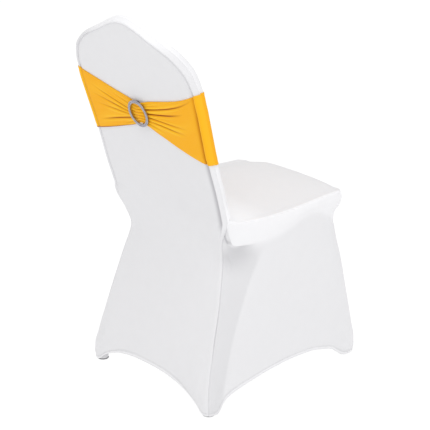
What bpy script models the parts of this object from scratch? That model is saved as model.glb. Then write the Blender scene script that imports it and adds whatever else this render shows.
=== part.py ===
"""Stretch cover for a banquet chair, with a sash drawn through a ring buckle round its back.

The chair itself is left out, so every cloth piece is a thin closed shell held in its fitted shape.
Axes: X across the chair, the chair faces -Y, Z up, feet on z = 0. Lengths are in metres.
The shapes are worked out about the chair's own middle, MIDDLE_Y in front of the cover's origin.
"""

import bpy
import numpy as np

# Cloth
CLOTH = 0.0016
SEAM_GAP = 0.0003

# The leaning back reaches further than the seat, so the middle of the cover's depth is here
MIDDLE_Y = 0.0167

# Backrest: a flat panel leaning back, round-edged, with a soft trough beside the edge
BACK_FOOT_Y = 0.0475
BACK_SLOPE = 0.2903
BACK_THICK = 0.026
CROWN_THICKER = 0.007
BACK_OUT = np.array([0.0, 1.0, -BACK_SLOPE]) / np.hypot(1.0, BACK_SLOPE)

# Feet: upright cups that the leg tips stand in
FOOT_RADIUS = 0.020
FOOT_REAR = (0.2050, 0.2300)
FOOT_FRONT = (0.1779, -0.2614)
SEAT_ROUND = 0.008
SEAT_FLAT_Z = 0.4690
HEM_Z = 0.003
HEM_REACH = 0.30

# The cloth has given at the front left corner of the seat: this far inwards, back and down
CORNER_GIVE = np.array([-0.012, 0.004, -0.009])

# How finely each stretch is divided
RIM_ROWS = 15
INNER_SHARES = (0.85, 0.66, 0.36, 0)
SASH_ROWS = 6
RING_STEPS = 28

# Half outline of the backrest, from the crown down to the seat: half_width, z
OUTLINE = (
    (0.0000, 0.9275),
    (0.0180, 0.9262),
    (0.0360, 0.9216),
    (0.0620, 0.9118),
    (0.0955, 0.8965),
    (0.1305, 0.8815),
    (0.1600, 0.8680),
    (0.1840, 0.8510),
    (0.2005, 0.8340),
    (0.2105, 0.8120),
    (0.2165, 0.7850),
    (0.2165, 0.7500),
    (0.2140, 0.7100),
    (0.2110, 0.6700),
    (0.2085, 0.6300),
    (0.2090, 0.5900),
    (0.2098, 0.5500),
    (0.2085, 0.5100),
    (0.2050, 0.4649),
)

# Section of the backrest edge, from its side seam inwards: rear_in, rear_out, front_in, front_out
EDGE_SECTION = (
    (0.0000, 0.0000, 0.0000, 0.0000),
    (0.0006, 0.0070, 0.0004, 0.0060),
    (0.0030, 0.0117, 0.0025, 0.0105),
    (0.0062, 0.0122, 0.0080, 0.0130),
    (0.0095, 0.0094, 0.0120, 0.0132),
    (0.0140, 0.0121, 0.0170, 0.0134),
    (0.0240, 0.0130, 0.0240, 0.0136),
)

# Section of a rounded corner of unit radius, from its middle round to the flat: inward, outward
ROUND_SECTION = (
    (0.000, 0.000),
    (0.120, 0.105),
    (0.270, 0.195),
    (0.440, 0.257),
    (0.707, 0.293),
    (1.200, 0.293),
    (2.000, 0.293),
)

# Seam where the seat top meets the side, from the backrest to the front corner: x, y, z
SEAT_SEAM = (
    (0.2050, 0.1705, 0.4685),
    (0.2030, 0.1560, 0.4650),
    (0.2015, 0.1200, 0.4560),
    (0.2010, 0.0630, 0.4515),
    (0.1990, -0.0300, 0.4490),
    (0.1940, -0.1045, 0.4510),
    (0.1895, -0.1700, 0.4530),
    (0.1875, -0.2040, 0.4530),
    (0.1830, -0.2200, 0.4500),
)

# Lower edge of the cushion side, where the cloth leaves it for the feet: x, y, z
CUSHION_EDGE = (
    (0.2035, 0.1715, 0.4560),
    (0.2040, 0.1650, 0.4340),
    (0.2045, 0.1560, 0.4110),
    (0.2060, 0.1200, 0.4020),
    (0.2070, 0.0600, 0.3980),
    (0.2060, 0.0170, 0.4000),
    (0.2040, -0.0300, 0.4120),
    (0.2015, -0.0650, 0.4220),
    (0.1980, -0.1050, 0.4265),
    (0.1940, -0.1450, 0.4160),
    (0.1895, -0.1750, 0.3950),
    (0.1775, -0.2030, 0.3700),
)

# Seam down the rear leg, below the cushion side: x, y, z
REAR_SEAM = (
    (0.2035, 0.1715, 0.4560),
    (0.1975, 0.1720, 0.4400),
    (0.1870, 0.1700, 0.4200),
    (0.1785, 0.1655, 0.4000),
    (0.1725, 0.1590, 0.3800),
    (0.1700, 0.1560, 0.3600),
    (0.1735, 0.1605, 0.3350),
    (0.1785, 0.1680, 0.3100),
    (0.1905, 0.1870, 0.2400),
    (0.2010, 0.2120, 0.1600),
    (0.2125, 0.2360, 0.0800),
    (0.2191, 0.2441, 0.0300),
    (0.2186, 0.2436, 0.0180),
    (0.2176, 0.2426, 0.0090),
    (0.2162, 0.2412, 0.0030),
)

# Seam down the front leg, below the cushion side: x, y, z
FRONT_SEAM = (
    (0.1775, -0.2030, 0.3700),
    (0.1790, -0.2150, 0.3200),
    (0.1810, -0.2290, 0.2700),
    (0.1840, -0.2520, 0.1700),
    (0.1890, -0.2700, 0.0800),
    (0.1920, -0.2755, 0.0300),
    (0.1915, -0.2750, 0.0180),
    (0.1905, -0.2740, 0.0090),
    (0.1891, -0.2726, 0.0030),
)

# Front corner of the cushion, from the seat seam down to the leg: x, y, z
CUSHION_CORNER = (
    (0.1830, -0.2200, 0.4500),
    (0.1850, -0.2230, 0.4350),
    (0.1840, -0.2180, 0.4160),
    (0.1795, -0.2045, 0.3980),
    (0.1775, -0.2030, 0.3700),
)

# Corner radius of the cloth round each leg, by height: z, rear, front
LEG_RADIUS = (
    (0.003, 0.0158, 0.0158),
    (0.009, 0.0178, 0.0178),
    (0.018, 0.0192, 0.0192),
    (0.030, 0.0200, 0.0200),
    (0.090, 0.0140, 0.0140),
    (0.300, 0.0120, 0.0120),
    (0.380, 0.0100, 0.0130),
    (0.456, 0.0020, 0.0150),
    (0.480, 0.0010, 0.0150),
)

# The soft ridge the side cloth makes from the rear foot up to the cushion: z, share of the side
SIDE_RIDGE = (
    (0.003, 0.085),
    (0.146, 0.100),
    (0.260, 0.160),
    (0.380, 0.280),
    (0.460, 0.300),
)

# Middle of the back cloth below the seat: z, y
REAR_MIDDLE = (
    (0.003, 0.2440),
    (0.080, 0.2320),
    (0.160, 0.2125),
    (0.240, 0.1915),
    (0.310, 0.1770),
    (0.360, 0.1720),
    (0.400, 0.1725),
    (0.440, 0.1775),
    (0.4685, 0.1835),
)

# Middle of the front cloth: station (0 crown, 1 backrest foot, 2 front corner, 3 hem), y, z
FRONT_MIDDLE = (
    (0.765, 0.1800, 0.6000),
    (0.870, 0.1606, 0.5430),
    (0.940, 0.1440, 0.5100),
    (1.000, 0.1220, 0.4850),
    (1.050, 0.1000, 0.4760),
    (1.120, 0.0720, 0.4725),
    (1.250, 0.0300, 0.4720),
    (1.500, -0.0600, 0.4720),
    (1.750, -0.1450, 0.4710),
    (1.900, -0.2000, 0.4655),
    (2.000, -0.2290, 0.4550),
    (2.050, -0.2385, 0.4400),
    (2.100, -0.2400, 0.4220),
    (2.160, -0.2350, 0.4070),
    (2.240, -0.2260, 0.3900),
    (2.350, -0.2220, 0.3600),
    (2.500, -0.2260, 0.3000),
    (2.700, -0.2380, 0.2000),
    (2.850, -0.2500, 0.1100),
    (3.000, -0.2620, 0.0030),
)

# Padding of the backrest's front: z, bulge
FRONT_PAD = (
    (0.560, 0.0150),
    (0.620, 0.0140),
    (0.720, 0.0120),
    (0.800, 0.0080),
    (0.850, 0.0040),
    (0.900, 0.0000),
)

# Height of the hem arch: across the front and rear by the distance in from the foot's middle,
# along the sides by y
ARCH_ACROSS = (
    (-0.0020, 0.0000),
    (0.0050, 0.0015),
    (0.0120, 0.0056),
    (0.0190, 0.0125),
    (0.0270, 0.0195),
    (0.0400, 0.0275),
    (0.0550, 0.0352),
    (0.0700, 0.0413),
    (0.0850, 0.0468),
    (0.1050, 0.0515),
    (0.1300, 0.0561),
    (0.1550, 0.0587),
    (0.2050, 0.0602),
)
ARCH_ALONG = (
    (-0.2600, 0.0000),
    (-0.2400, 0.0015),
    (-0.2280, 0.0060),
    (-0.2095, 0.0189),
    (-0.1860, 0.0360),
    (-0.1635, 0.0430),
    (-0.1410, 0.0500),
    (-0.1190, 0.0554),
    (-0.0750, 0.0592),
    (-0.0315, 0.0603),
    (0.0115, 0.0587),
    (0.0540, 0.0560),
    (0.0955, 0.0505),
    (0.1370, 0.0440),
    (0.1680, 0.0380),
    (0.1900, 0.0300),
    (0.1980, 0.0220),
    (0.2080, 0.0086),
    (0.2150, 0.0010),
    (0.2280, 0.0000),
)

# Where the side cloth is divided: shares from rear to front, of the cushion side, of the skirt
SIDE_SHARES = (0, 0.012, 0.03, 0.07, 0.13, 0.20, 0.30, 0.43, 0.57, 0.71, 0.84, 0.93, 0.97, 0.988, 1)
CUSHION_SHARES = (0, 0.12, 0.50, 0.85, 1)
SKIRT_SHARES = (0.05, 0.12, 0.20, 0.29, 0.39, 0.52, 0.66, 0.79, 0.90, 0.97, 1)

# Sash
SASH_CLOTH = 0.0012
SASH_CLEAR = 0.0016
SASH_SHARES = (0, 0.07, 0.14, 0.22, 0.33, 0.48, 0.68)
FOLD_HEIGHT = 0.0016

# Lower and upper edge of the sash across the rear: x, low, high
SASH_REAR = (
    (-0.2200, 0.6190, 0.7960),
    (-0.1900, 0.6228, 0.7815),
    (-0.1500, 0.6305, 0.7660),
    (-0.1110, 0.6403, 0.7552),
    (-0.0700, 0.6528, 0.7455),
    (-0.0400, 0.6620, 0.7385),
    (-0.0130, 0.6725, 0.7312),
    (0.0030, 0.6785, 0.7275),
    (0.0190, 0.6728, 0.7292),
    (0.0420, 0.6632, 0.7342),
    (0.0700, 0.6545, 0.7395),
    (0.1110, 0.6422, 0.7490),
    (0.1600, 0.6283, 0.7605),
    (0.2200, 0.6135, 0.7750),
)

# Ring buckle with its hidden middle bar
RING_X = 0.003
RING_Z = 0.703
RING_OUTER = 0.0342
RING_INNER = 0.0270
RING_LIFT = 0.0074
RING_THICK = 0.0036
BAR_WIDE = 0.005
BAR_THICK = 0.0016
BAR_LIFT = 0.0009
BAR_POST = 0.0030

# Sole patches and pocket linings, as half sections turned about the foot: radius, z
SOLE_SECTION = (
    (0.0000, 0.0000),
    (0.0130, 0.0000),
    (0.0144, 0.0007),
    (0.0147, 0.0014),
    (0.0108, 0.0022),
    (0.0000, 0.0022),
)
POCKET_SECTION = (
    (0.0128, 0.0026),
    (0.0138, 0.0070),
    (0.0146, 0.0200),
    (0.0148, 0.0350),
    (0.0134, 0.0350),
    (0.0132, 0.0200),
    (0.0124, 0.0074),
    (0.0114, 0.0030),
)
FOOT_STEPS = 12

WHITE = (0.86, 0.86, 0.87, 1.0)
GOLD = (0.90, 0.45, 0.03, 1.0)
SILVER = (0.62, 0.62, 0.64, 1.0)
GREY = (0.16, 0.16, 0.17, 1.0)


def spline(rows, at):
    """The other columns of a table at the given values of its first column."""
    rows = np.asarray(rows, float)
    key = rows[:, 0]
    value = rows[:, 1:]
    slope = np.diff(value, axis=0) / np.diff(key)[:, None]
    tangent = np.vstack([slope[:1], (slope[1:] + slope[:-1]) / 2, slope[-1:]])
    flat = np.vstack([slope[:1], slope[1:]]) * np.vstack([slope[:1], slope[:-1]]) <= 0
    tangent[:-1][flat] = 0
    at = np.clip(np.atleast_1d(np.asarray(at, float)), key[0], key[-1])
    i = np.clip(np.searchsorted(key, at, side="right") - 1, 0, len(key) - 2)
    width = (key[i + 1] - key[i])[:, None]
    s = ((at - key[i]) / width[:, 0])[:, None]
    first = value[i] * (2 * s**3 - 3 * s**2 + 1) + value[i + 1] * (3 * s**2 - 2 * s**3)
    second = tangent[i] * (s**3 - 2 * s**2 + s) + tangent[i + 1] * (s**3 - s**2)
    return first + width * second


def along(points, shares):
    """Points at the given shares of the length of a smooth curve through the listed points."""
    points = np.asarray(points, float)
    length = np.concatenate([[0], np.cumsum(np.linalg.norm(np.diff(points, axis=0), axis=1))])
    return spline(np.column_stack([length / length[-1], points]), shares)


def at_height(points, z):
    """The x, y of a falling curve at the given heights."""
    rows = np.asarray(points, float)[::-1][:, [2, 0, 1]]
    return np.column_stack([spline(rows, z), z])


def falling(points, shares):
    """Points of a falling curve at the given shares of its height."""
    top, foot = points[0][2], points[-1][2]
    return at_height(points, top + (foot - top) * np.asarray(shares, float))


def unit(vector):
    return vector / np.linalg.norm(vector)


def back_plane(x, z):
    return np.array([x, BACK_FOOT_Y + BACK_SLOPE * z, z])


def rim_frame(share):
    """Side seam of the backrest at a share of its outline, with the inward direction."""
    here = along(OUTLINE, share)[0]
    step = along(OUTLINE, [max(share - 0.01, 0), min(share + 0.01, 1)])
    way = back_plane(*step[1]) - back_plane(*step[0])
    if share == 0:
        way = np.array([1.0, 0.0, 0.0])
    inward = unit(np.cross(unit(way), BACK_OUT))
    if inward[2] > 0 or (inward[0] > 0 and share > 0):
        inward = -inward
    return back_plane(*here) - BACK_OUT * half_thick(share), inward


def half_thick(share):
    """Half the thickness of the backrest, a little more along the slopes of the crown."""
    more = np.interp(share, (0, 0.12, 0.36, 0.5), (0.3, 1, 1, 0))
    return (BACK_THICK + CROWN_THICKER * float(more)) / 2


def edge_section(share, columns):
    """The edge section in its rear or front columns, thickened to suit the backrest there."""
    section = np.array(EDGE_SECTION)[:, columns]
    section[:, 1] *= 2 * half_thick(share) / BACK_THICK
    return section


def arch(table, place, z):
    """How far the cloth at height z is lifted by the hem arch below it."""
    rise = spline(table, place)[:, 0]
    return rise * np.clip(1 - z / HEM_REACH, 0, 1) ** 2


def quarter(distance, radius):
    """Outward swell of a rounded corner at a distance from its middle line."""
    rows = np.asarray(ROUND_SECTION)
    return np.interp(distance / radius, rows[:, 0], rows[:, 1]) * radius


def side_grid():
    """Outer face of the side cloth at +X: rows from the seat seam to the hem, columns rear to front."""
    u = np.asarray(SIDE_SHARES, float)
    top = along(SEAT_SEAM, u)
    edge = along(CUSHION_EDGE, u)
    corner = along(CUSHION_CORNER, CUSHION_SHARES)
    rows = []
    for i, s in enumerate(CUSHION_SHARES):
        row = top + (edge - top) * s
        row += (corner[i] - row[-1]) * (u**6)[:, None]
        swell = 0.0022 * np.sin(np.pi * min(s * 1.15, 1)) * np.sin(np.pi * u) ** 0.5
        row[:, 0] += swell
        rows.append(row)
    rear = falling(REAR_SEAM, SKIRT_SHARES)
    front = falling(FRONT_SEAM, SKIRT_SHARES)
    drop = edge - (edge[:1] + (edge[-1:] - edge[:1]) * u[:, None])
    for v, at_rear, at_front in zip(SKIRT_SHARES, rear, front):
        row = at_rear + (at_front - at_rear) * u[:, None]
        row[:, 1:] += drop[:, 1:] * (1 - v) ** 2
        r_rear = spline(LEG_RADIUS, at_rear[2])[0][0]
        r_front = spline(LEG_RADIUS, at_front[2])[0][1]
        hem = (FOOT_REAR[0] + FOOT_RADIUS) * (1 - u) + (FOOT_FRONT[0] + FOOT_RADIUS) * u
        far = edge[:, 0] * (1 - v) + (hem - 0.012 * u * (1 - u)) * v
        far += (at_front[0] + 0.293 * r_front - far[-1]) * u**4
        reach = spline(SIDE_RIDGE, row[:, 2])[:, 0]
        fall = 0.5 * (np.sqrt((1 - u / reach) ** 2 + 0.004) + 1 - u / reach)
        fall = fall / fall[0] * (1 - u)
        leg_x = at_height(REAR_SEAM, row[:, 2])[:, 0]
        far += (leg_x + 0.293 * r_rear - far[0]) * fall
        far -= 0.293 * r_rear - quarter(np.abs(row[:, 1] - at_rear[1]), r_rear)
        far -= 0.293 * r_front - quarter(np.abs(row[:, 1] - at_front[1]), r_front)
        far[0], far[-1] = at_rear[0], at_front[0]
        row[:, 0] = far
        row[1:-1, 2] += arch(ARCH_ALONG, row[1:-1, 1], row[1:-1, 2])
        rows.append(row)
    return np.array(rows)


def half_row(seam, inward, outward, section, middle, power):
    """A row from the +X seam to the middle: the edge section, then a smooth swell to the middle."""
    edge = seam + np.outer(section[:, 0], inward) + np.outer(section[:, 1], outward)
    last = edge[-1]
    u = np.asarray(INNER_SHARES, float)
    inner = np.column_stack([last[0] * u, np.tile(last[1:], (len(u), 1))])
    inner[:, 1:] += (np.asarray(middle) - last[1:]) * (1 - u**power)[:, None]
    return np.vstack([edge, inner])


def mix(a, b, share):
    return np.asarray(a) * (1 - share) + np.asarray(b) * share


def rise_smooth(value, low, high):
    s = np.clip((value - low) / (high - low), 0, 1)
    return s * s * (3 - 2 * s)


def back_half(side):
    """Half rows of the back cloth, from the crown to the rear hem."""
    rows = []
    for share in np.linspace(0, 1, RIM_ROWS + 1)[:-1]:
        section = edge_section(share, [0, 1])
        seam, inward = rim_frame(share)
        end = seam + inward * section[-1, 0] + BACK_OUT * section[-1, 1]
        rows.append(half_row(seam, inward, BACK_OUT, section, end[1:], 2))
    for seam in side[:, 0]:
        stiff = rise_smooth(seam[2], 0.395, 0.4685)
        radius = spline(LEG_RADIUS, min(seam[2], 0.36))[0][0]
        shape = mix(np.asarray(ROUND_SECTION) * radius, section, stiff)
        outward = unit(mix((0, 1, 0), BACK_OUT, stiff))
        middle = (spline(REAR_MIDDLE, seam[2])[0][0], seam[2])
        row = half_row(seam, np.array([-1.0, 0, 0]), outward, shape, middle, 3)
        row[1:, 2] += arch(ARCH_ACROSS, FOOT_REAR[0] - row[1:, 0], row[1:, 2])
        rows.append(row)
    return np.array(rows)


def front_face_middle(edge_end, z):
    """Middle of the padded front face beside the end of an edge section."""
    return (edge_end - BACK_OUT * spline(FRONT_PAD, z)[0][0])[1:]


def front_half(side):
    """Half rows of the front cloth: down the backrest, along the seat, down to the front hem."""
    rows = []
    seat = np.asarray(ROUND_SECTION) * SEAT_ROUND
    for share in np.linspace(0, 1, RIM_ROWS + 1)[:-1]:
        rim = edge_section(share, [2, 3])
        seam, inward = rim_frame(share)
        end = seam + inward * rim[-1, 0] - BACK_OUT * rim[-1, 1]
        middle = front_face_middle(end, end[2])
        table = spline(FRONT_MIDDLE, share)[0]
        middle = mix(middle, table, rise_smooth(share, 0.72, 0.86))
        rows.append(half_row(seam, inward, -BACK_OUT, rim, middle, 2.6))
    for share, seam in zip(SIDE_SHARES, side[0]):
        lean = rise_smooth(-share, -0.10, 0.06)
        nose = rise_smooth(share, 0.93, 1.06)
        shape = mix(seat, rim, lean)
        outward = unit(mix((0, 0, 1), -BACK_OUT, lean) + nose * np.array([0, -1.0, 0]))
        middle = spline(FRONT_MIDDLE, 1 + share)[0]
        row = half_row(seam, np.array([-1.0, 0, 0]), outward, shape, middle, 2.1)
        if share > 0.1:
            row[:, 2] = np.minimum(row[:, 2], SEAT_FLAT_Z)
        rows.append(row)
    for seam in side[1:, -1]:
        fall = (side[0, -1, 2] - seam[2]) / (side[0, -1, 2] - HEM_Z)
        radius = spline(LEG_RADIUS, seam[2])[0][1]
        shape = np.asarray(ROUND_SECTION) * radius
        nose = rise_smooth(fall, -0.02, 0.06)
        outward = unit(np.array([0, -1.0, 1 - nose]))
        middle = spline(FRONT_MIDDLE, 2 + fall)[0]
        row = half_row(seam, np.array([-1.0, 0, 0]), outward, shape, middle, 3.5)
        row[1:, 2] += arch(ARCH_ACROSS, FOOT_FRONT[0] - row[1:, 0], row[1:, 2])
        rows.append(row)
    return np.array(rows)


def mirrored(grid):
    return grid * np.array([-1.0, 1, 1])


def settled(grid):
    """A panel with the front left corner of the seat given in."""
    x, y, z = grid[..., 0], grid[..., 1], grid[..., 2]
    share = rise_smooth(x, 0.065, 0.17) * rise_smooth(-y, -0.02, 0.20) * rise_smooth(z, 0.30, 0.44)
    return grid + share[..., None] * CORNER_GIVE


def cloth_grids():
    """Every panel's outer face, as rows and columns that run the way that faces it outwards."""
    side = side_grid()
    back = back_half(side)
    front = front_half(side)
    return {
        "back_panel": np.concatenate([mirrored(back), back[:, -2::-1]], axis=1),
        "front_panel": settled(np.concatenate([front, mirrored(front)[:, -2::-1]], axis=1)),
        "side_panel_left": settled(side),
        "side_panel_right": mirrored(side)[:, ::-1],
    }


def quads(rows, columns, start=0):
    index = start + np.arange(rows * columns).reshape(rows, columns)
    a, b, c, d = index[:-1, :-1], index[:-1, 1:], index[1:, 1:], index[1:, :-1]
    return np.stack([a, b, c, d], axis=-1).reshape(-1, 4)


def sewn_skin(grids):
    """All panels welded at their seams: points, unit normals and each panel's faces."""
    points, faces, start = [], {}, 0
    for name, grid in grids.items():
        faces[name] = quads(*grid.shape[:2], start)
        points.append(grid.reshape(-1, 3))
        start += grid.shape[0] * grid.shape[1]
    points = np.concatenate(points)
    near = np.round(points / 2e-6)
    _, first, index = np.unique(near, axis=0, return_index=True, return_inverse=True)
    points = points[first]
    index = index.reshape(-1)
    return points, {name: clean_faces(index[face]) for name, face in faces.items()}


def clean_faces(faces):
    """Faces as lists without repeated corners, leaving out any that has collapsed."""
    kept = []
    for face in faces:
        corners = [int(p) for i, p in enumerate(face) if p != face[i - 1]]
        if len(set(corners)) == len(corners) and len(corners) > 2:
            kept.append(corners)
    return kept


def face_normal(points, face):
    total = np.zeros(3)
    for i in range(1, len(face) - 1):
        first = points[face[i]] - points[face[0]]
        total += np.cross(first, points[face[i + 1]] - points[face[0]])
    return total


def offsets_in(points, panels):
    """How the inner face of the cloth lies from the outer at each point, mitred at creases."""
    summed = np.zeros_like(points)
    around = [[] for _ in points]
    for faces in panels.values():
        for face in faces:
            normal = face_normal(points, face)
            size = np.linalg.norm(normal)
            if size < 1e-14:
                continue
            for corner in face:
                summed[corner] += normal / size**0.5
                around[corner].append(normal / size)
    for i, normals in enumerate(around):
        if not normals:
            continue
        summed[i] = unit(summed[i])
        spread = np.clip(np.mean([summed[i] @ n for n in normals]), 0.6, 1)
        summed[i] /= spread
    return -summed * CLOTH


def edges_of(faces):
    """The directed edges of the faces, with the face each belongs to."""
    return {(a, b): face for face in faces for a, b in zip(face, face[1:] + face[:1])}


def pulls(points, edges, others):
    """Which way each seam point is drawn back into this panel."""
    pull = {}
    for (a, b), face in edges.items():
        if (b, a) in edges or (b, a) not in others:
            continue
        inward = unit(np.cross(face_normal(points, face), points[b] - points[a]))
        for p in (a, b):
            pull[p] = pull.get(p, np.zeros(3)) + inward
    return pull


def wall(a, b, count, swap):
    """The two triangles of cloth edge between a pair of outer points, cut the same way on both panels."""
    if swap:
        return [[b, a, a + count], [b, a + count, b + count]]
    return [[b, a, b + count], [a, a + count, b + count]]


def panel_shell(points, inset, faces, others):
    """One panel as a closed shell, drawn back from the seams it shares with the others."""
    used = sorted({p for face in faces for p in face})
    place = {p: i for i, p in enumerate(used)}
    edges = edges_of(faces)
    outer = points[used].copy()
    for p, way in pulls(points, edges, others).items():
        outer[place[p]] += unit(way) * SEAM_GAP / 2
    inner = outer + inset[used]
    count = len(used)
    shell = [[place[p] for p in face] for face in faces]
    back = [[p + count for p in reversed(face)] for face in shell]
    walls = []
    for a, b in edges:
        if (b, a) not in edges:
            walls += wall(place[a], place[b], count, a > b)
    return np.vstack([outer, inner]), shell + back + walls


def material(name, colour, metallic, rough):
    made = bpy.data.materials.new(name)
    made.use_nodes = True
    shader = made.node_tree.nodes["Principled BSDF"]
    shader.inputs["Base Color"].default_value = colour
    shader.inputs["Metallic"].default_value = metallic
    shader.inputs["Roughness"].default_value = rough
    made.diffuse_color = colour
    return made


def add_object(name, points, faces, look):
    mesh = bpy.data.meshes.new(name)
    mesh.from_pydata([tuple(map(float, p)) for p in points], [], faces)
    mesh.validate()
    mesh.shade_smooth()
    mesh.materials.append(look)
    made = bpy.data.objects.new(name, mesh)
    made.parent = bpy.data.objects["cover"]
    bpy.context.scene.collection.objects.link(made)


def add_middle():
    """The empty that every piece hangs on, which sets the cover's middle over the origin."""
    middle = bpy.data.objects.new("cover", None)
    middle.location.y = -MIDDLE_Y
    bpy.context.scene.collection.objects.link(middle)


def build_cover():
    points, panels = sewn_skin(cloth_grids())
    inset = offsets_in(points, panels)
    for name, faces in panels.items():
        rest = [face for other, group in panels.items() if other != name for face in group]
        look = material(name + "_cloth", WHITE, 0.0, 0.8)
        add_object(name, *panel_shell(points, inset, faces, edges_of(rest)), look)


def backrest_share(z):
    """Share of the outline at which the side of the backrest is at height z."""
    shares = np.linspace(0.4, 1, 61)
    heights = along(OUTLINE, shares)[:, 1]
    return float(np.interp(z, heights[::-1], shares[::-1]))


def rear_place(k, z):
    share = backrest_share(z)
    seam, inward = rim_frame(share)
    section = edge_section(share, [0, 1])
    return seam + inward * section[k, 0] + BACK_OUT * section[k, 1]


def front_place(k, z):
    share = backrest_share(z)
    seam, inward = rim_frame(share)
    section = edge_section(share, [2, 3])
    return seam + inward * section[k, 0] - BACK_OUT * section[k, 1]


def front_inner(u, z):
    last = front_place(len(EDGE_SECTION) - 1, z)
    middle = front_face_middle(last, z)
    place = np.array([last[0] * u, last[1], last[2]])
    place[1:] += (middle - last[1:]) * (1 - abs(u) ** 2.6)
    return place


def sash_loop():
    """Stations round the backrest: a function of height for each, and its x on the rear or None."""
    last = len(EDGE_SECTION) - 1
    edge_x = rear_place(last, 0.70)[0]
    stops = {RING_X + s * (edge_x - RING_X) for s in SASH_SHARES}
    stops |= {RING_X - s * (edge_x + RING_X) for s in SASH_SHARES}
    stations = []
    for x in sorted(stops):
        share = x / edge_x
        scale = np.array([share, 1, 1])
        stations.append((lambda z, scale=scale: rear_place(last, z) * scale, x))
    for k in range(last, -1, -1):
        stations.append((lambda z, k=k: rear_place(k, z), rear_place(k, 0.70)[0]))
    for k in range(1, last + 1):
        stations.append((lambda z, k=k: front_place(k, z), None))
    for u in (0.66, 0.33, 0.0, -0.33, -0.66):
        stations.append((lambda z, u=u: front_inner(u, z), None))
    for k in range(last, 0, -1):
        stations.append((lambda z, k=k: front_place(k, z) * np.array([-1, 1, 1]), None))
    for k in range(0, last + 1):
        stations.append((lambda z, k=k: rear_place(k, z) * np.array([-1, 1, 1]), -rear_place(k, 0.70)[0]))
    return stations


def sash_edges(x, turn):
    if x is not None:
        return spline(SASH_REAR, x)[0]
    left = spline(SASH_REAR, 0.22)[0]
    right = spline(SASH_REAR, -0.22)[0]
    return mix(left, right, turn)


def sash_lift(x, b):
    """Extra height of the gathered sash over the backrest: under the ring rim, then over the bar."""
    if x is None:
        return 0.0
    away = abs(x - RING_X)
    gather = np.exp(-((away / 0.075) ** 2))
    over_bar = 0.0022 * np.exp(-((away / 0.016) ** 2))
    puff = 0.0030 * np.exp(-((away / 0.014) ** 2)) * (1 - b * b)
    fold = FOLD_HEIGHT * gather * (0.5 + 0.5 * np.cos(3.2 * np.pi * b + 1.0))
    return over_bar + puff + fold


def build_sash():
    stations = sash_loop()
    turns = [i for i, (_, x) in enumerate(stations) if x is None]
    grid, lift = [], []
    for i, (place, x) in enumerate(stations):
        turn = (i - turns[0]) / (turns[-1] - turns[0]) if x is None else 0
        low, high = sash_edges(x, turn)
        b = np.linspace(-1, 1, SASH_ROWS)
        z = low + (high - low) * (b + 1) / 2
        grid.append([place(h) for h in z])
        lift.append([sash_lift(x, v) for v in b])
    grid, lift = np.array(grid), np.array(lift)
    round_way = np.roll(grid, -1, axis=0) - np.roll(grid, 1, axis=0)
    up_way = np.gradient(grid, axis=1)
    out = np.cross(up_way, round_way)
    out /= np.linalg.norm(out, axis=2)[:, :, None]
    clear = (SASH_CLEAR + lift)[:, :, None]
    inner = grid + out * clear
    outer = grid + out * (clear + SASH_CLOTH)
    loop_shell("sash", outer, inner, material("sash_cloth", GOLD, 0.0, 0.7))


def loop_shell(name, outer, inner, look):
    """A closed band from two grids of stations round it and rows across it."""
    count, rows = outer.shape[:2]
    points = np.vstack([outer.reshape(-1, 3), inner.reshape(-1, 3)])
    shift = count * rows
    faces = []
    for i in range(count):
        j = (i + 1) % count
        for r in range(rows - 1):
            a, b, c, d = i * rows + r, j * rows + r, j * rows + r + 1, i * rows + r + 1
            faces.append([d, c, b, a])
            faces.append([a + shift, b + shift, c + shift, d + shift])
        low_i, low_j = i * rows, j * rows
        top_i, top_j = i * rows + rows - 1, j * rows + rows - 1
        faces.append([low_i, low_j, low_j + shift, low_i + shift])
        faces.append([top_j, top_i, top_i + shift, top_j + shift])
    add_object(name, points, faces, look)


def build_ring():
    """Flat rounded ring, its bar behind the cloth held by a post at the top and the bottom."""
    centre = back_plane(RING_X, RING_Z)
    across = np.array([1.0, 0, 0])
    up = np.cross(across, BACK_OUT) * -1
    up = up if up[2] > 0 else -up
    half = (RING_OUTER - RING_INNER) / 2
    middle = (RING_OUTER + RING_INNER) / 2
    section = [
        (half * np.cos(a), RING_THICK / 2 * np.sign(np.sin(a)) * abs(np.sin(a)) ** 0.6)
        for a in np.linspace(0, 2 * np.pi, 8, endpoint=False)
    ]
    points, faces = [], []
    for turn in np.linspace(0, 2 * np.pi, RING_STEPS, endpoint=False):
        way = across * np.cos(turn) + up * np.sin(turn)
        for radial, lift in section:
            rise = RING_LIFT + RING_THICK / 2 + lift
            points.append(centre + way * (middle + radial) + BACK_OUT * rise)
    for i in range(RING_STEPS):
        j = (i + 1) % RING_STEPS
        for k in range(8):
            m = (k + 1) % 8
            faces.append([i * 8 + k, j * 8 + k, j * 8 + m, i * 8 + m])
    look = material("ring_metal", SILVER, 1.0, 0.3)
    add_object("ring_buckle", points, faces, look)
    reach = middle + BAR_POST / 2
    xs = (-BAR_WIDE / 2, BAR_WIDE / 2)
    post = (BAR_LIFT, RING_LIFT + RING_THICK / 2)
    boxes = (
        ((-reach, reach), (BAR_LIFT, BAR_LIFT + BAR_THICK)),
        ((reach - BAR_POST, reach), post),
        ((-reach, BAR_POST - reach), post),
    )
    for i, (ups, lifts) in enumerate(boxes):
        spots = [(x, u, q) for x in xs for u in ups for q in lifts]
        corners = [centre + across * x + up * u + BACK_OUT * q for x, u, q in spots]
        add_cutter("ring_bar_%d" % i, corners)
        join = bpy.data.objects["ring_buckle"].modifiers.new("bar_%d" % i, "BOOLEAN")
        join.operation = "UNION"
        join.solver = "EXACT"
        join.object = bpy.data.objects["ring_bar_%d" % i]


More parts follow.
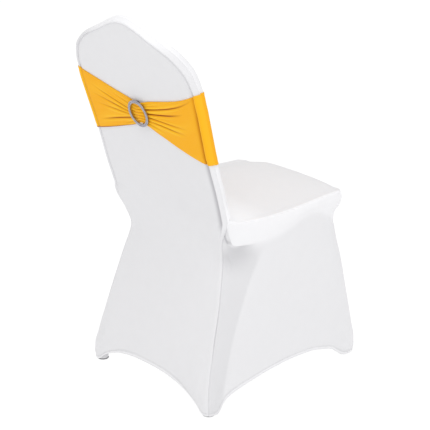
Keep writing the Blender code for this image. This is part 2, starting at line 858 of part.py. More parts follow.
def add_cutter(name, corners):
    mesh = bpy.data.meshes.new(name)
    faces = [(0, 1, 3, 2), (4, 6, 7, 5), (0, 4, 5, 1), (2, 3, 7, 6), (0, 2, 6, 4), (1, 5, 7, 3)]
    mesh.from_pydata([tuple(map(float, c)) for c in corners], [], faces)
    made = bpy.data.objects.new(name, mesh)
    made.parent = bpy.data.objects["cover"]
    made.hide_render = True
    made.display_type = "WIRE"
    bpy.context.scene.collection.objects.link(made)


def turned(name, section, centre, look):
    """A closed body made by turning a half section about an upright axis."""
    points, rings = [], []
    for radius, z in section:
        if radius == 0:
            rings.append([len(points)])
            points.append((centre[0], centre[1], z))
            continue
        rings.append(list(range(len(points), len(points) + FOOT_STEPS)))
        for turn in np.linspace(0, 2 * np.pi, FOOT_STEPS, endpoint=False):
            x = centre[0] + radius * np.cos(turn)
            points.append((x, centre[1] + radius * np.sin(turn), z))
    closed = len(rings[0]) > 1
    pairs = list(zip(rings, rings[1:] + rings[:1])) if closed else list(zip(rings, rings[1:]))
    faces = []
    for low, high in pairs:
        for i in range(FOOT_STEPS):
            j = (i + 1) % FOOT_STEPS
            if len(low) == 1:
                faces.append([low[0], high[j], high[i]])
            elif len(high) == 1:
                faces.append([low[i], low[j], high[0]])
            else:
                faces.append([low[i], low[j], high[j], high[i]])
    add_object(name, points, faces, look)


def build_feet():
    for name, (x, y) in (("rear", FOOT_REAR), ("front", FOOT_FRONT)):
        for side, way in (("left", 1), ("right", -1)):
            place = (x * way, y)
            tag = "%s_%s" % (name, side)
            rubber = material("sole_" + tag, GREY, 0.0, 0.6)
            lining = material("pocket_" + tag, WHITE, 0.0, 0.8)
            turned("foot_sole_" + tag, SOLE_SECTION, place, rubber)
            turned("foot_pocket_" + tag, POCKET_SECTION, place, lining)


for leftover in list(bpy.data.objects):
    bpy.data.objects.remove(leftover)

add_middle()
build_cover()
build_sash()
build_ring()
build_feet()
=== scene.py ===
import bpy
import numpy as np
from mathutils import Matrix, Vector


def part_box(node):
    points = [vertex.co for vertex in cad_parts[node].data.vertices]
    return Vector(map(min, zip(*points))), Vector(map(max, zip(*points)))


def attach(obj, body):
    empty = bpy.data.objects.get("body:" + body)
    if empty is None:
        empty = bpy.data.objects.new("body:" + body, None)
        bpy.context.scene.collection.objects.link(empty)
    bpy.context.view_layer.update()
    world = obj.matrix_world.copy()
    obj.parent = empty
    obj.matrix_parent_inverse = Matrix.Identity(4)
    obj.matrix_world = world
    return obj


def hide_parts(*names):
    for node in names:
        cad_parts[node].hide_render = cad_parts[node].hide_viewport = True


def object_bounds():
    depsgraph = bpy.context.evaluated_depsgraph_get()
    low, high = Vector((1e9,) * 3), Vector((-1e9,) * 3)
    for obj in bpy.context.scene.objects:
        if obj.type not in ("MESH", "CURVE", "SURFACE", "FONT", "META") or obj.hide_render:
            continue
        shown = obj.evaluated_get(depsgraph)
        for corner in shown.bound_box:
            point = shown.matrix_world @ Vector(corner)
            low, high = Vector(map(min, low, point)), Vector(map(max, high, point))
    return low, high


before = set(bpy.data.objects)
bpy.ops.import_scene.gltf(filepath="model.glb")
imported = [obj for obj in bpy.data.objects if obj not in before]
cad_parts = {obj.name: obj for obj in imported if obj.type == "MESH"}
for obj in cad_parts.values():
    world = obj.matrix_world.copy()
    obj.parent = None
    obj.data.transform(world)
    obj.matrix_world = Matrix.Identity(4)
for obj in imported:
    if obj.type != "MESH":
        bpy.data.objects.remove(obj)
cadBox = [list(corner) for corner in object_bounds()]

# The chair the cover is fitted to: where its back leans and where its legs stand
chair = {
    "backFootY": 0.0475,
    "backSlope": 0.2903,
    "backThick": 0.026,
    "crownThicker": 0.007,
    "footRadius": 0.020,
    "rearFootY": 0.2300,
    "seatRound": 0.008,
    "hemZ": 0.003,
    "hemReach": 0.30,
}


def middleOf(node):
    low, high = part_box(node)
    return (np.array(low) + np.array(high)) / 2


# Shapes are worked out about the chair's own middle, then moved to the frame's
shiftY = middleOf("foot_sole_rear_left")[1] - chair["rearFootY"]
rearFoot = middleOf("foot_sole_rear_left")[:2] - np.array([0, shiftY])
frontFoot = middleOf("foot_sole_front_left")[:2] - np.array([0, shiftY])
backOut = np.array([0.0, 1.0, -chair["backSlope"]]) / np.hypot(1.0, chair["backSlope"])


def spline(rows, at):
    # the other columns of a table at values of its first column
    rows = np.asarray(rows, float)
    key = rows[:, 0]
    value = rows[:, 1:]
    slope = np.diff(value, axis=0) / np.diff(key)[:, None]
    tangent = np.vstack([slope[:1], (slope[1:] + slope[:-1]) / 2, slope[-1:]])
    flat = np.vstack([slope[:1], slope[1:]]) * np.vstack([slope[:1], slope[:-1]]) <= 0
    tangent[:-1][flat] = 0
    at = np.clip(np.atleast_1d(np.asarray(at, float)), key[0], key[-1])
    i = np.clip(np.searchsorted(key, at, side="right") - 1, 0, len(key) - 2)
    width = (key[i + 1] - key[i])[:, None]
    s = ((at - key[i]) / width[:, 0])[:, None]
    first = value[i] * (2 * s**3 - 3 * s**2 + 1) + value[i + 1] * (3 * s**2 - 2 * s**3)
    second = tangent[i] * (s**3 - 2 * s**2 + s) + tangent[i + 1] * (s**3 - s**2)
    return first + width * second


def along(points, shares):
    # points at shares of the length of a smooth curve
    points = np.asarray(points, float)
    length = np.concatenate([[0], np.cumsum(np.linalg.norm(np.diff(points, axis=0), axis=1))])
    return spline(np.column_stack([length / length[-1], points]), shares)


def atHeight(points, z):
    rows = np.asarray(points, float)[::-1][:, [2, 0, 1]]
    return np.column_stack([spline(rows, z), z])


def falling(points, shares):
    top, foot = points[0][2], points[-1][2]
    return atHeight(points, top + (foot - top) * np.asarray(shares, float))


def finer(shares, parts):
    # every step of a list of shares cut into parts
    shares = np.asarray(shares, float)
    steps = np.arange(parts) / parts
    pieces = [a + (b - a) * steps for a, b in zip(shares, shares[1:])]
    return np.concatenate(pieces + [shares[-1:]])


def smoothRows(table, count, power):
    # many points through a short table, closer together at its start
    rows = np.column_stack([np.arange(len(table)), np.asarray(table, float)])
    return spline(rows, np.linspace(0, 1, count) ** power * (len(table) - 1))


def unit(vector):
    return vector / np.linalg.norm(vector)


def mix(a, b, share):
    return np.asarray(a) * (1 - share) + np.asarray(b) * share


def rise(value, low, high):
    s = np.clip((value - low) / (high - low), 0, 1)
    return s * s * (3 - 2 * s)


def bell(value, width):
    return np.exp(-((value / width) ** 2))


# Half outline of the backrest from the crown to the seat: half width, height
outline = (
    (0.0000, 0.9275),
    (0.0180, 0.9262),
    (0.0360, 0.9216),
    (0.0620, 0.9118),
    (0.0955, 0.8965),
    (0.1305, 0.8815),
    (0.1600, 0.8680),
    (0.1840, 0.8510),
    (0.2005, 0.8340),
    (0.2105, 0.8120),
    (0.2165, 0.7850),
    (0.2165, 0.7500),
    (0.2140, 0.7100),
    (0.2110, 0.6700),
    (0.2085, 0.6300),
    (0.2090, 0.5900),
    (0.2098, 0.5500),
    (0.2085, 0.5100),
    (0.2050, 0.4649),
)

# Section of the backrest edge inwards from its seam: rear in, rear out, front in, front out
edgeTable = (
    (0.0000, 0.0000, 0.0000, 0.0000),
    (0.0006, 0.0070, 0.0004, 0.0060),
    (0.0030, 0.0117, 0.0025, 0.0105),
    (0.0062, 0.0122, 0.0080, 0.0130),
    (0.0095, 0.0080, 0.0120, 0.0132),
    (0.0140, 0.0121, 0.0170, 0.0134),
    (0.0240, 0.0130, 0.0240, 0.0136),
)

# Section of a rounded corner of unit radius: inward, outward
roundTable = (
    (0.000, 0.000),
    (0.120, 0.105),
    (0.270, 0.195),
    (0.440, 0.257),
    (0.707, 0.293),
    (1.200, 0.293),
    (2.000, 0.293),
)

# Seam between the seat top and the side: x, y, z
seatSeam = (
    (0.2050, 0.1705, 0.4685),
    (0.2030, 0.1560, 0.4650),
    (0.2015, 0.1200, 0.4560),
    (0.2010, 0.0630, 0.4515),
    (0.1990, -0.0300, 0.4490),
    (0.1940, -0.1045, 0.4510),
    (0.1895, -0.1700, 0.4530),
    (0.1875, -0.2040, 0.4530),
    (0.1830, -0.2200, 0.4500),
)

# Lower edge of the padded seat side, where the cloth leaves it: x, y, z
cushionEdge = (
    (0.2035, 0.1715, 0.4560),
    (0.2040, 0.1650, 0.4340),
    (0.2045, 0.1560, 0.4110),
    (0.2060, 0.1200, 0.4020),
    (0.2070, 0.0600, 0.3980),
    (0.2060, 0.0170, 0.4000),
    (0.2040, -0.0300, 0.4120),
    (0.2015, -0.0650, 0.4220),
    (0.1980, -0.1050, 0.4265),
    (0.1940, -0.1450, 0.4160),
    (0.1895, -0.1750, 0.3950),
    (0.1775, -0.2030, 0.3700),
)

# Seam down the rear leg: x, y, z
rearSeam = (
    (0.2035, 0.1715, 0.4560),
    (0.1975, 0.1720, 0.4400),
    (0.1870, 0.1700, 0.4200),
    (0.1785, 0.1655, 0.4000),
    (0.1725, 0.1590, 0.3800),
    (0.1700, 0.1560, 0.3600),
    (0.1735, 0.1605, 0.3350),
    (0.1785, 0.1680, 0.3100),
    (0.1905, 0.1870, 0.2400),
    (0.2010, 0.2120, 0.1600),
    (0.2125, 0.2360, 0.0800),
    (0.2191, 0.2441, 0.0300),
    (0.2186, 0.2436, 0.0180),
    (0.2176, 0.2426, 0.0090),
    (0.2162, 0.2412, 0.0030),
)

# Seam down the front leg: x, y, z
frontSeam = (
    (0.1775, -0.2030, 0.3700),
    (0.1790, -0.2150, 0.3200),
    (0.1810, -0.2290, 0.2700),
    (0.1840, -0.2520, 0.1700),
    (0.1890, -0.2700, 0.0800),
    (0.1920, -0.2755, 0.0300),
    (0.1915, -0.2750, 0.0180),
    (0.1905, -0.2740, 0.0090),
    (0.1891, -0.2726, 0.0030),
)

# Front corner of the padded seat, from the seam down to the leg: x, y, z
cushionCorner = (
    (0.1830, -0.2200, 0.4500),
    (0.1850, -0.2230, 0.4350),
    (0.1840, -0.2180, 0.4160),
    (0.1795, -0.2045, 0.3980),
    (0.1775, -0.2030, 0.3700),
)

# Corner radius of the cloth round each leg: height, rear, front
legRadius = (
    (0.003, 0.0158, 0.0158),
    (0.009, 0.0178, 0.0178),
    (0.018, 0.0192, 0.0192),
    (0.030, 0.0200, 0.0200),
    (0.090, 0.0140, 0.0140),
    (0.300, 0.0120, 0.0120),
    (0.380, 0.0100, 0.0130),
    (0.456, 0.0020, 0.0150),
    (0.480, 0.0010, 0.0150),
)

# Soft ridge from the rear foot up to the seat side: height, share of the side
sideRidge = (
    (0.003, 0.085),
    (0.146, 0.100),
    (0.260, 0.160),
    (0.380, 0.280),
    (0.460, 0.300),
)

# Middle of the back cloth below the seat: height, y
rearMiddle = (
    (0.003, 0.2440),
    (0.080, 0.2320),
    (0.160, 0.2125),
    (0.240, 0.1915),
    (0.310, 0.1770),
    (0.360, 0.1720),
    (0.400, 0.1725),
    (0.440, 0.1775),
    (0.4685, 0.1835),
)

# Middle of the front cloth: station (0 crown, 1 foot of the back, 2 seat front, 3 hem), y, z
frontMiddle = (
    (0.765, 0.1800, 0.6000),
    (0.870, 0.1606, 0.5430),
    (0.940, 0.1440, 0.5100),
    (1.000, 0.1220, 0.4850),
    (1.050, 0.1000, 0.4760),
    (1.120, 0.0720, 0.4725),
    (1.250, 0.0300, 0.4720),
    (1.500, -0.0600, 0.4720),
    (1.750, -0.1450, 0.4710),
    (1.900, -0.2000, 0.4655),
    (2.000, -0.2290, 0.4550),
    (2.050, -0.2385, 0.4400),
    (2.100, -0.2400, 0.4220),
    (2.160, -0.2350, 0.4070),
    (2.240, -0.2260, 0.3900),
    (2.350, -0.2220, 0.3600),
    (2.500, -0.2260, 0.3000),
    (2.700, -0.2380, 0.2000),
    (2.850, -0.2500, 0.1100),
    (3.000, -0.2620, 0.0030),
)

# Padding of the backrest's front: height, bulge
frontPad = (
    (0.560, 0.0150),
    (0.620, 0.0140),
    (0.720, 0.0120),
    (0.800, 0.0080),
    (0.850, 0.0040),
    (0.900, 0.0000),
)

# Rise of the hem: across by the distance in from a foot, along the sides by y
archAcross = (
    (-0.0020, 0.0000),
    (0.0050, 0.0015),
    (0.0120, 0.0056),
    (0.0190, 0.0125),
    (0.0270, 0.0195),
    (0.0400, 0.0275),
    (0.0550, 0.0352),
    (0.0700, 0.0413),
    (0.0850, 0.0468),
    (0.1050, 0.0515),
    (0.1300, 0.0561),
    (0.1550, 0.0587),
    (0.2050, 0.0602),
)
archAlong = (
    (-0.2600, 0.0000),
    (-0.2400, 0.0015),
    (-0.2280, 0.0060),
    (-0.2095, 0.0189),
    (-0.1860, 0.0360),
    (-0.1635, 0.0430),
    (-0.1410, 0.0500),
    (-0.1190, 0.0554),
    (-0.0750, 0.0592),
    (-0.0315, 0.0603),
    (0.0115, 0.0587),
    (0.0540, 0.0560),
    (0.0955, 0.0505),
    (0.1370, 0.0440),
    (0.1680, 0.0380),
    (0.1900, 0.0300),
    (0.1980, 0.0220),
    (0.2080, 0.0086),
    (0.2150, 0.0010),
    (0.2280, 0.0000),
)

# How finely the panels are worked out
sideSteps = (0, 0.012, 0.03, 0.07, 0.13, 0.20, 0.30, 0.43, 0.57, 0.71, 0.84, 0.93, 0.97, 0.988, 1)
nearSeam = 0.0012 * np.arange(1, 10)
sideShares = np.unique(np.concatenate([finer(sideSteps, 5), nearSeam, 1 - nearSeam]))
cushionShares = np.unique(np.concatenate([finer((0, 0.12, 0.50, 0.85, 1), 7), [0.006, 0.012]]))
skirtShares = finer((0.05, 0.12, 0.20, 0.29, 0.39, 0.52, 0.66, 0.79, 0.90, 0.97), 6)
skirtShares = np.concatenate([finer((0, 0.05), 5)[1:-1], skirtShares[:-1], np.linspace(0.97, 1, 28)])
rimRows = 100
innerShares = np.linspace(1, 0, 27)[1:]
sectionPoints = 34
sectionPower = 1.25
edgeRows = smoothRows(edgeTable, sectionPoints, sectionPower)
roundRows = smoothRows(roundTable, sectionPoints, sectionPower)
onFlat = len(edgeTable) - 1
cornerOut = roundTable[-1][1]


def backPlane(x, z):
    return np.array([x, chair["backFootY"] + chair["backSlope"] * z, z])


def halfThick(share):
    # half the thickness of the backrest, a little more on the slopes of the crown
    more = np.interp(share, (0, 0.12, 0.36, 0.5), (0.3, 1, 1, 0))
    return (chair["backThick"] + chair["crownThicker"] * float(more)) / 2


def rimFrame(share):
    # side seam of the backrest at a share of its outline, and the way inwards
    here = along(outline, share)[0]
    step = along(outline, [max(share - 0.01, 0), min(share + 0.01, 1)])
    way = backPlane(*step[1]) - backPlane(*step[0])
    if share == 0:
        way = np.array([1.0, 0.0, 0.0])
    inward = unit(np.cross(unit(way), backOut))
    if inward[2] > 0 or (inward[0] > 0 and share > 0):
        inward = -inward
    return backPlane(*here) - backOut * halfThick(share), inward


def edgeSection(share, columns):
    section = edgeRows[:, columns].copy()
    section[:, 1] *= 2 * halfThick(share) / chair["backThick"]
    return section


def arch(table, place, z):
    lift = spline(table, place)[:, 0]
    return lift * np.clip(1 - z / chair["hemReach"], 0, 1) ** 2


def quarter(distance, radius):
    return np.interp(distance / radius, roundRows[:, 0], roundRows[:, 1]) * radius


def sideGrid():
    # outer face of the side cloth at +X: rows from the seat seam to the hem, columns rear to front
    u = sideShares
    top = along(seatSeam, u)
    edge = along(cushionEdge, u)
    corner = along(cushionCorner, cushionShares)
    rows = []
    for i, s in enumerate(cushionShares):
        row = top + (edge - top) * s
        row += (corner[i] - row[-1]) * (u**6)[:, None]
        row[:, 0] += 0.0022 * np.sin(np.pi * min(s * 1.15, 1)) * np.sin(np.pi * u) ** 0.5
        rows.append(row)
    rear = falling(rearSeam, skirtShares)
    front = falling(frontSeam, skirtShares)
    drop = edge - (edge[:1] + (edge[-1:] - edge[:1]) * u[:, None])
    for v, atRear, atFront in zip(skirtShares, rear, front):
        row = atRear + (atFront - atRear) * u[:, None]
        row[:, 1:] += drop[:, 1:] * (1 - v) ** 2
        rearRound = spline(legRadius, atRear[2])[0][0]
        frontRound = spline(legRadius, atFront[2])[0][1]
        hem = (rearFoot[0] * (1 - u) + frontFoot[0] * u) + chair["footRadius"]
        far = edge[:, 0] * (1 - v) + (hem - 0.012 * u * (1 - u)) * v
        far += (atFront[0] + cornerOut * frontRound - far[-1]) * u**4
        reach = spline(sideRidge, row[:, 2])[:, 0]
        fall = 0.5 * (np.sqrt((1 - u / reach) ** 2 + 0.004) + 1 - u / reach)
        fall = fall / fall[0] * (1 - u)
        legX = atHeight(rearSeam, row[:, 2])[:, 0]
        far += (legX + cornerOut * rearRound - far[0]) * fall
        far -= cornerOut * rearRound - quarter(np.abs(row[:, 1] - atRear[1]), rearRound)
        far -= cornerOut * frontRound - quarter(np.abs(row[:, 1] - atFront[1]), frontRound)
        far[0], far[-1] = atRear[0], atFront[0]
        row[:, 0] = far
        row[1:-1, 2] += arch(archAlong, row[1:-1, 1], row[1:-1, 2])
        rows.append(row)
    return np.array(rows)


def halfRow(seam, inward, outward, section, middle, power):
    # from the +X seam to the middle: the edge section, then a smooth swell
    edge = seam + np.outer(section[:, 0], inward) + np.outer(section[:, 1], outward)
    last = edge[-1]
    inner = np.column_stack([last[0] * innerShares, np.tile(last[1:], (len(innerShares), 1))])
    inner[:, 1:] += (np.asarray(middle) - last[1:]) * (1 - innerShares**power)[:, None]
    return np.vstack([edge, inner])


def backHalf(side):
    rows = []
    for share in np.linspace(0, 1, rimRows + 1)[:-1]:
        section = edgeSection(share, [0, 1])
        seam, inward = rimFrame(share)
        end = seam + inward * section[-1, 0] + backOut * section[-1, 1]
        rows.append(halfRow(seam, inward, backOut, section, end[1:], 2))
    for seam in side[:, 0]:
        stiff = rise(seam[2], 0.395, 0.4685)
        radius = spline(legRadius, min(seam[2], 0.36))[0][0]
        shape = mix(roundRows * radius, section, stiff)
        outward = unit(mix((0, 1, 0), backOut, stiff))
        middle = (spline(rearMiddle, seam[2])[0][0], seam[2])
        row = halfRow(seam, np.array([-1.0, 0, 0]), outward, shape, middle, 3)
        row[1:, 2] += arch(archAcross, rearFoot[0] - row[1:, 0], row[1:, 2])
        rows.append(row)
    return np.array(rows)


def frontHalf(side):
    rows = []
    for share in np.linspace(0, 1, rimRows + 1)[:-1]:
        rim = edgeSection(share, [2, 3])
        seam, inward = rimFrame(share)
        end = seam + inward * rim[-1, 0] - backOut * rim[-1, 1]
        middle = (end - backOut * spline(frontPad, end[2])[0][0])[1:]
        middle = mix(middle, spline(frontMiddle, share)[0], rise(share, 0.72, 0.86))
        rows.append(halfRow(seam, inward, -backOut, rim, middle, 2.6))
    for share, seam in zip(sideShares, side[0]):
        lean = rise(-share, -0.10, 0.06)
        nose = rise(share, 0.93, 1.06)
        shape = mix(roundRows * chair["seatRound"], rim, lean)
        outward = unit(mix((0, 0, 1), -backOut, lean) + nose * np.array([0, -1.0, 0]))
        middle = spline(frontMiddle, 1 + share)[0]
        rows.append(halfRow(seam, np.array([-1.0, 0, 0]), outward, shape, middle, 2.1))
    for seam in side[1:, -1]:
        fall = (side[0, -1, 2] - seam[2]) / (side[0, -1, 2] - chair["hemZ"])
        shape = roundRows * spline(legRadius, seam[2])[0][1]
        outward = unit(np.array([0, -1.0, 1 - rise(fall, -0.02, 0.06)]))
        middle = spline(frontMiddle, 2 + fall)[0]
        row = halfRow(seam, np.array([-1.0, 0, 0]), outward, shape, middle, 3.5)
        row[1:, 2] += arch(archAcross, frontFoot[0] - row[1:, 0], row[1:, 2])
        rows.append(row)
    return np.array(rows)


def mirrored(grid):
    return grid * np.array([-1.0, 1, 1])


def coverGrids():
    side = sideGrid()
    back = backHalf(side)
    front = frontHalf(side)
    return {
        "back_panel": np.concatenate([mirrored(back), back[:, -2::-1]], axis=1),
        "front_panel": np.concatenate([front, mirrored(front)[:, -2::-1]], axis=1),
        "side_panel_left": side,
        "side_panel_right": mirrored(side)[:, ::-1],
    }


cover = {
    "cloth": 0.0016,
    "seamGap": 0.0003,
    "seamDip": 0.0008,       # how deep the sewn line sits
    "seamWide": 0.0013,
    "allowance": 0.0006,     # the turned cloth under the side of a seam
    "hemDeep": 0.0105,       # height of the turned hem
    "hemThick": 0.0006,
    "hemRows": (0.0092, 0.0070),
    "cornerGive": (-0.012, 0.004, -0.009),   # the front left corner of the seat has given this far
    "drift": 0.00045,
    "legPull": 0.0008,
    "stitchPitch": 0.0028,
    "hemStitch": (0.0021, 0.0004, 0.0002),   # length, width and height of a stitch
    "seamStitch": (0.0019, 0.0003, 0.00014),
    "sideStitchIn": 0.0030,
    "rimStitchIn": 0.0022,
}

# The tuck under the rear corner of the seat side: y, z, from its top to its tip
tuckLine = ((0.1790, 0.4480), (0.1715, 0.4330), (0.1588, 0.4110))


# The padding's lower edge seen from the side, front first: y, height
lowerEdge = [(y, z) for _, y, z in cushionEdge[::-1]]

# Where the hollow beside the back leg ends: height, y
legRidge = (
    (0.003, 0.2050),
    (0.150, 0.1690),
    (0.264, 0.1225),
    (0.383, 0.0633),
    (0.420, 0.0500),
)


def lengths(grid, axis):
    # distance travelled along the rows or the columns of a grid
    step = np.linalg.norm(np.diff(grid, axis=axis), axis=2)
    zero = np.zeros_like(np.take(step, [0], axis=axis))
    return np.concatenate([zero, np.cumsum(step, axis=axis)], axis=axis)


def settle(points):
    # the front left corner of the padded seat has given inwards, back and down
    x, y, z = points.T
    share = rise(x, 0.065, 0.17) * rise(-y, -0.02, 0.20) * rise(z, 0.30, 0.44)
    return points + share[:, None] * np.array(cover["cornerGive"])


def drift(points):
    # slow unevenness of stretched cloth
    x, y, z = points.T
    wave = np.sin(23 * x + 11 * z + 1.3) * np.sin(17 * y - 9 * z + 0.4)
    wave += 0.6 * np.sin(41 * z + 19 * x) * np.sin(37 * y + 29 * x + 2.1)
    return cover["drift"] * wave


def legPulls(points):
    # faint lines of tension fanning up from each foot
    total = np.zeros(len(points))
    for fx, fy in (rearFoot, frontFoot):
        for way in (1, -1):
            gap = points - np.array([fx * way, fy, 0.0])
            far = np.linalg.norm(gap, axis=1)
            fan = np.arctan2(np.abs(gap[:, 0]) + np.abs(gap[:, 1]), gap[:, 2])
            near = bell(far, 0.14) * (1 - bell(far, 0.03))
            total += cover["legPull"] * near * np.cos(13 * fan + 0.8)
    return total


def lineDistance(y, z, line):
    # distance in the y-z plane from a short polyline, and the share along it
    best = np.full(y.shape, 9.0)
    share = np.zeros(y.shape)
    parts = len(line) - 1
    for i in range(parts):
        ay, az = line[i]
        by, bz = line[i + 1]
        t = ((y - ay) * (by - ay) + (z - az) * (bz - az)) / ((by - ay) ** 2 + (bz - az) ** 2)
        t = np.clip(t, 0, 1)
        away = np.hypot(y - ay - t * (by - ay), z - az - t * (bz - az))
        share = np.where(away < best, (i + t) / parts, share)
        best = np.minimum(best, away)
    return best, share


def hemLift(height):
    # the turned hem with its two rows of stitching
    band = cover["hemThick"] * (1 - rise(height, cover["hemDeep"] - 0.0006, cover["hemDeep"] + 0.0006))
    for row in cover["hemRows"]:
        band = band - 0.0009 * bell(height - row, 0.0008)
    return band - 0.0003 * bell(height, 0.0008)


def hemTone(height):
    # the hem is lighter below its stitching, and painted shade draws a darker line along each row of
    # stitching, where the cloth dips
    line = sum(bell(height - row, 0.0011) for row in cover["hemRows"])
    return 0.22 * (1 - rise(height, 0.0060, 0.0068)) - 0.26 * np.clip(line, 0, 1)


def edgeShare(grid):
    # how far each column lies along the edge section: 0 on the seam, onFlat on the flat
    column = np.arange(grid.shape[1])
    inward = np.minimum(column, grid.shape[1] - 1 - column) / (len(edgeRows) - 1)
    place = np.clip(inward, 0, 1) ** sectionPower * onFlat
    return place[None, :] * np.ones((grid.shape[0], 1))


def reliefOf(name, grid):
    # how far each point of a panel stands proud of the smooth shape, with its distances
    across = lengths(grid, 1)
    down = lengths(grid, 0)
    fromHem = down[-1:] - down
    fromSeam = np.minimum(across, across[:, -1:] - across)
    isSide = name.startswith("side")
    if isSide:
        fromSeam = np.minimum(fromSeam, down)
    onSeat = seatLine(grid)
    lift = -cover["seamDip"] * bell(fromSeam, cover["seamWide"]) * (1 - onSeat)
    lift += 0.0010 * onSeat * bell(fromSeam - 0.0011, 0.0016)
    if isSide:
        underSeam = rise(fromSeam, 0.001, 0.003) * (1 - rise(fromSeam, 0.006, 0.008))
        lift += cover["allowance"] * underSeam * (1 - onSeat)
        away, share = lineDistance(grid[..., 1], grid[..., 2], tuckLine)
        lift -= 0.0040 * bell(away, 0.0020) * np.sin(np.pi * np.clip(share * 0.7 + 0.3, 0, 1))
    if name.startswith("back"):
        lift += 0.0028 * bell(edgeShare(grid) - 4.1, 0.65) * rise(grid[..., 2], 0.80, 0.88)
    lift += hemLift(fromHem)
    return lift, fromSeam, fromHem


def seatLine(grid):
    # 1 beside the corded seam round the seat, 0 along the other seams
    x, y, z = grid[..., 0], grid[..., 1], grid[..., 2]
    atHeightOfSeat = rise(z, 0.425, 0.436) * (1 - rise(z, 0.468, 0.476))
    return rise(-y, -0.166, -0.150) * atHeightOfSeat * rise(np.abs(x), 0.12, 0.15)


def paintedShadeOf(name, grid, fromSeam, fromHem):
    # painted shade, 1 at its darkest: in the bottom of a trough or a tuck, under the padding and along the
    # hem's edge, where little light falls
    y, z = grid[..., 1], grid[..., 2]
    # painted shade along the bottom edge of the hem
    dark = 0.55 * bell(fromHem, 0.0009)
    if name.startswith("side"):
        # painted shade in the hollow under the padding's lower edge, towards the rear
        lower = spline(lowerEdge, y.reshape(-1)).reshape(y.shape)
        under = lower - z
        hollow = rise(under, -0.004, 0.008) * (1 - rise(under, 0.006, 0.085))
        dark = dark + 0.36 * hollow * rise(y, 0.072, 0.125) * (1 - 0.45 * rise(y, 0.150, 0.168))
        # painted shade down the tuck under the seat's rear corner
        away, share = lineDistance(y, z, tuckLine)
        dark = dark + 0.62 * bell(away, 0.0016) * rise(share, 0.0, 0.15) * (1 - rise(share, 0.93, 1.0))
        # a thin line of painted shade beside the leg seams, below the seat
        besideLeg = bell(fromSeam - 0.0018, 0.0012) * (1 - seatLine(grid))
        dark = dark + 0.12 * besideLeg * (1 - rise(z, 0.40, 0.43))
    if name.startswith("back"):
        # painted shade in the trough of the backrest edge, fading out above the sash
        onRim = rise(z, 0.44, 0.47) * (1 - 0.97 * rise(z, 0.745, 0.815))
        # the trough gets less painted shade on the +x side, the left
        onRim = onRim * (1 - 0.7 * rise(grid[..., 0], -0.04, 0.06))
        dark = dark + 0.60 * bell(edgeShare(grid) - 4.70, 0.70) * onRim
    return np.clip(dark, 0, 1)


def rimTone(z):
    # painted light on the edge of the backrest: brightest low down and over the crown
    return 0.12 - 0.27 * rise(z, 0.70, 0.78) + 0.60 * rise(z, 0.86, 0.90)


def toneOf(name, grid, fromSeam, fromHem):
    # partly the knit showing its padding through, partly painted light and shade, with a different base for
    # each panel: 1 gives the padded, lit colour, 0 the thin, shaded one
    y, z = grid[..., 1], grid[..., 2]
    # the hem's shading, and painted highlights along the seams, strongest beside the corded seam round the
    # seat
    sewn = hemTone(fromHem) * (1 - bell(fromSeam, 0.0015)) + 0.25 * bell(fromSeam, 0.0014)
    sewn += 0.60 * seatLine(grid) * bell(fromSeam, 0.0030)
    if name.startswith("side"):
        lower = spline(lowerEdge, y.reshape(-1)).reshape(y.shape)
        # painted light on the padded band of the side, lighter than the cloth below it
        tone = sewn + 0.40 + 0.38 * rise(z, lower - 0.016, lower + 0.012)
        # painted shade in the hollow beside the back leg, darkest high up and stopping under the padding
        hollowTop = (0.62 + 0.38 * rise(z, 0.05, 0.28)) * (1 - rise(z, 0.355, 0.405))
        ridge = spline(legRidge, z.reshape(-1)).reshape(y.shape)
        soft = 0.004 + 0.014 * rise(z, 0.33, 0.39)
        return tone - 0.60 * hollowTop * rise(y, ridge - soft, ridge + 2 * soft)
    if name.startswith("back"):
        onRim = rise(z, 0.44, 0.47)
        place = edgeShare(grid)
        # painted light on the edge of the backrest
        tone = sewn + 0.26 + onRim * (1 - rise(place, 3.4, 4.6)) * rimTone(z)
        # painted light just above the ring, where the ring's shadow falls on the cover
        aboveRing = bell(np.hypot(grid[..., 0] - ring["x"], z - ring["z"] - ring["outer"]), 0.009)
        # painted shade in the trough of the backrest edge
        inTrough = bell(place - 4.4, 0.8) * onRim * (1 - 0.9 * rise(z, 0.80, 0.86))
        return tone + 0.5 * aboveRing - 0.20 * inTrough
    # painted light on the seat near the backrest, which the backrest would shade
    nearBack = rise(y, 0.010, 0.125) * (1 - rise(z, 0.485, 0.52))
    # painted light on the top of the backrest's edge
    top = rise(z, 0.44, 0.47) * (1 - rise(fromSeam, 0.020, 0.026)) * rise(z, 0.475, 0.50) * rimTone(z)
    return sewn + 0.50 + 0.50 * nearBack + top


def weldPanels(grids):
    # one set of points for all the panels, and where each grid's points went
    points = np.concatenate([grid.reshape(-1, 3) for grid in grids.values()])
    rounded = np.round(points / 2e-6)
    _, first, index = np.unique(rounded, axis=0, return_index=True, return_inverse=True)
    index = index.reshape(-1)
    places, start = {}, 0
    for name, grid in grids.items():
        size = grid.shape[0] * grid.shape[1]
        places[name] = index[start : start + size].reshape(grid.shape[:2])
        start += size
    return points[first], places


def quadsOf(index):
    corners = [index[:-1, :-1], index[:-1, 1:], index[1:, 1:], index[1:, :-1]]
    return np.stack(corners, axis=-1).reshape(-1, 4)


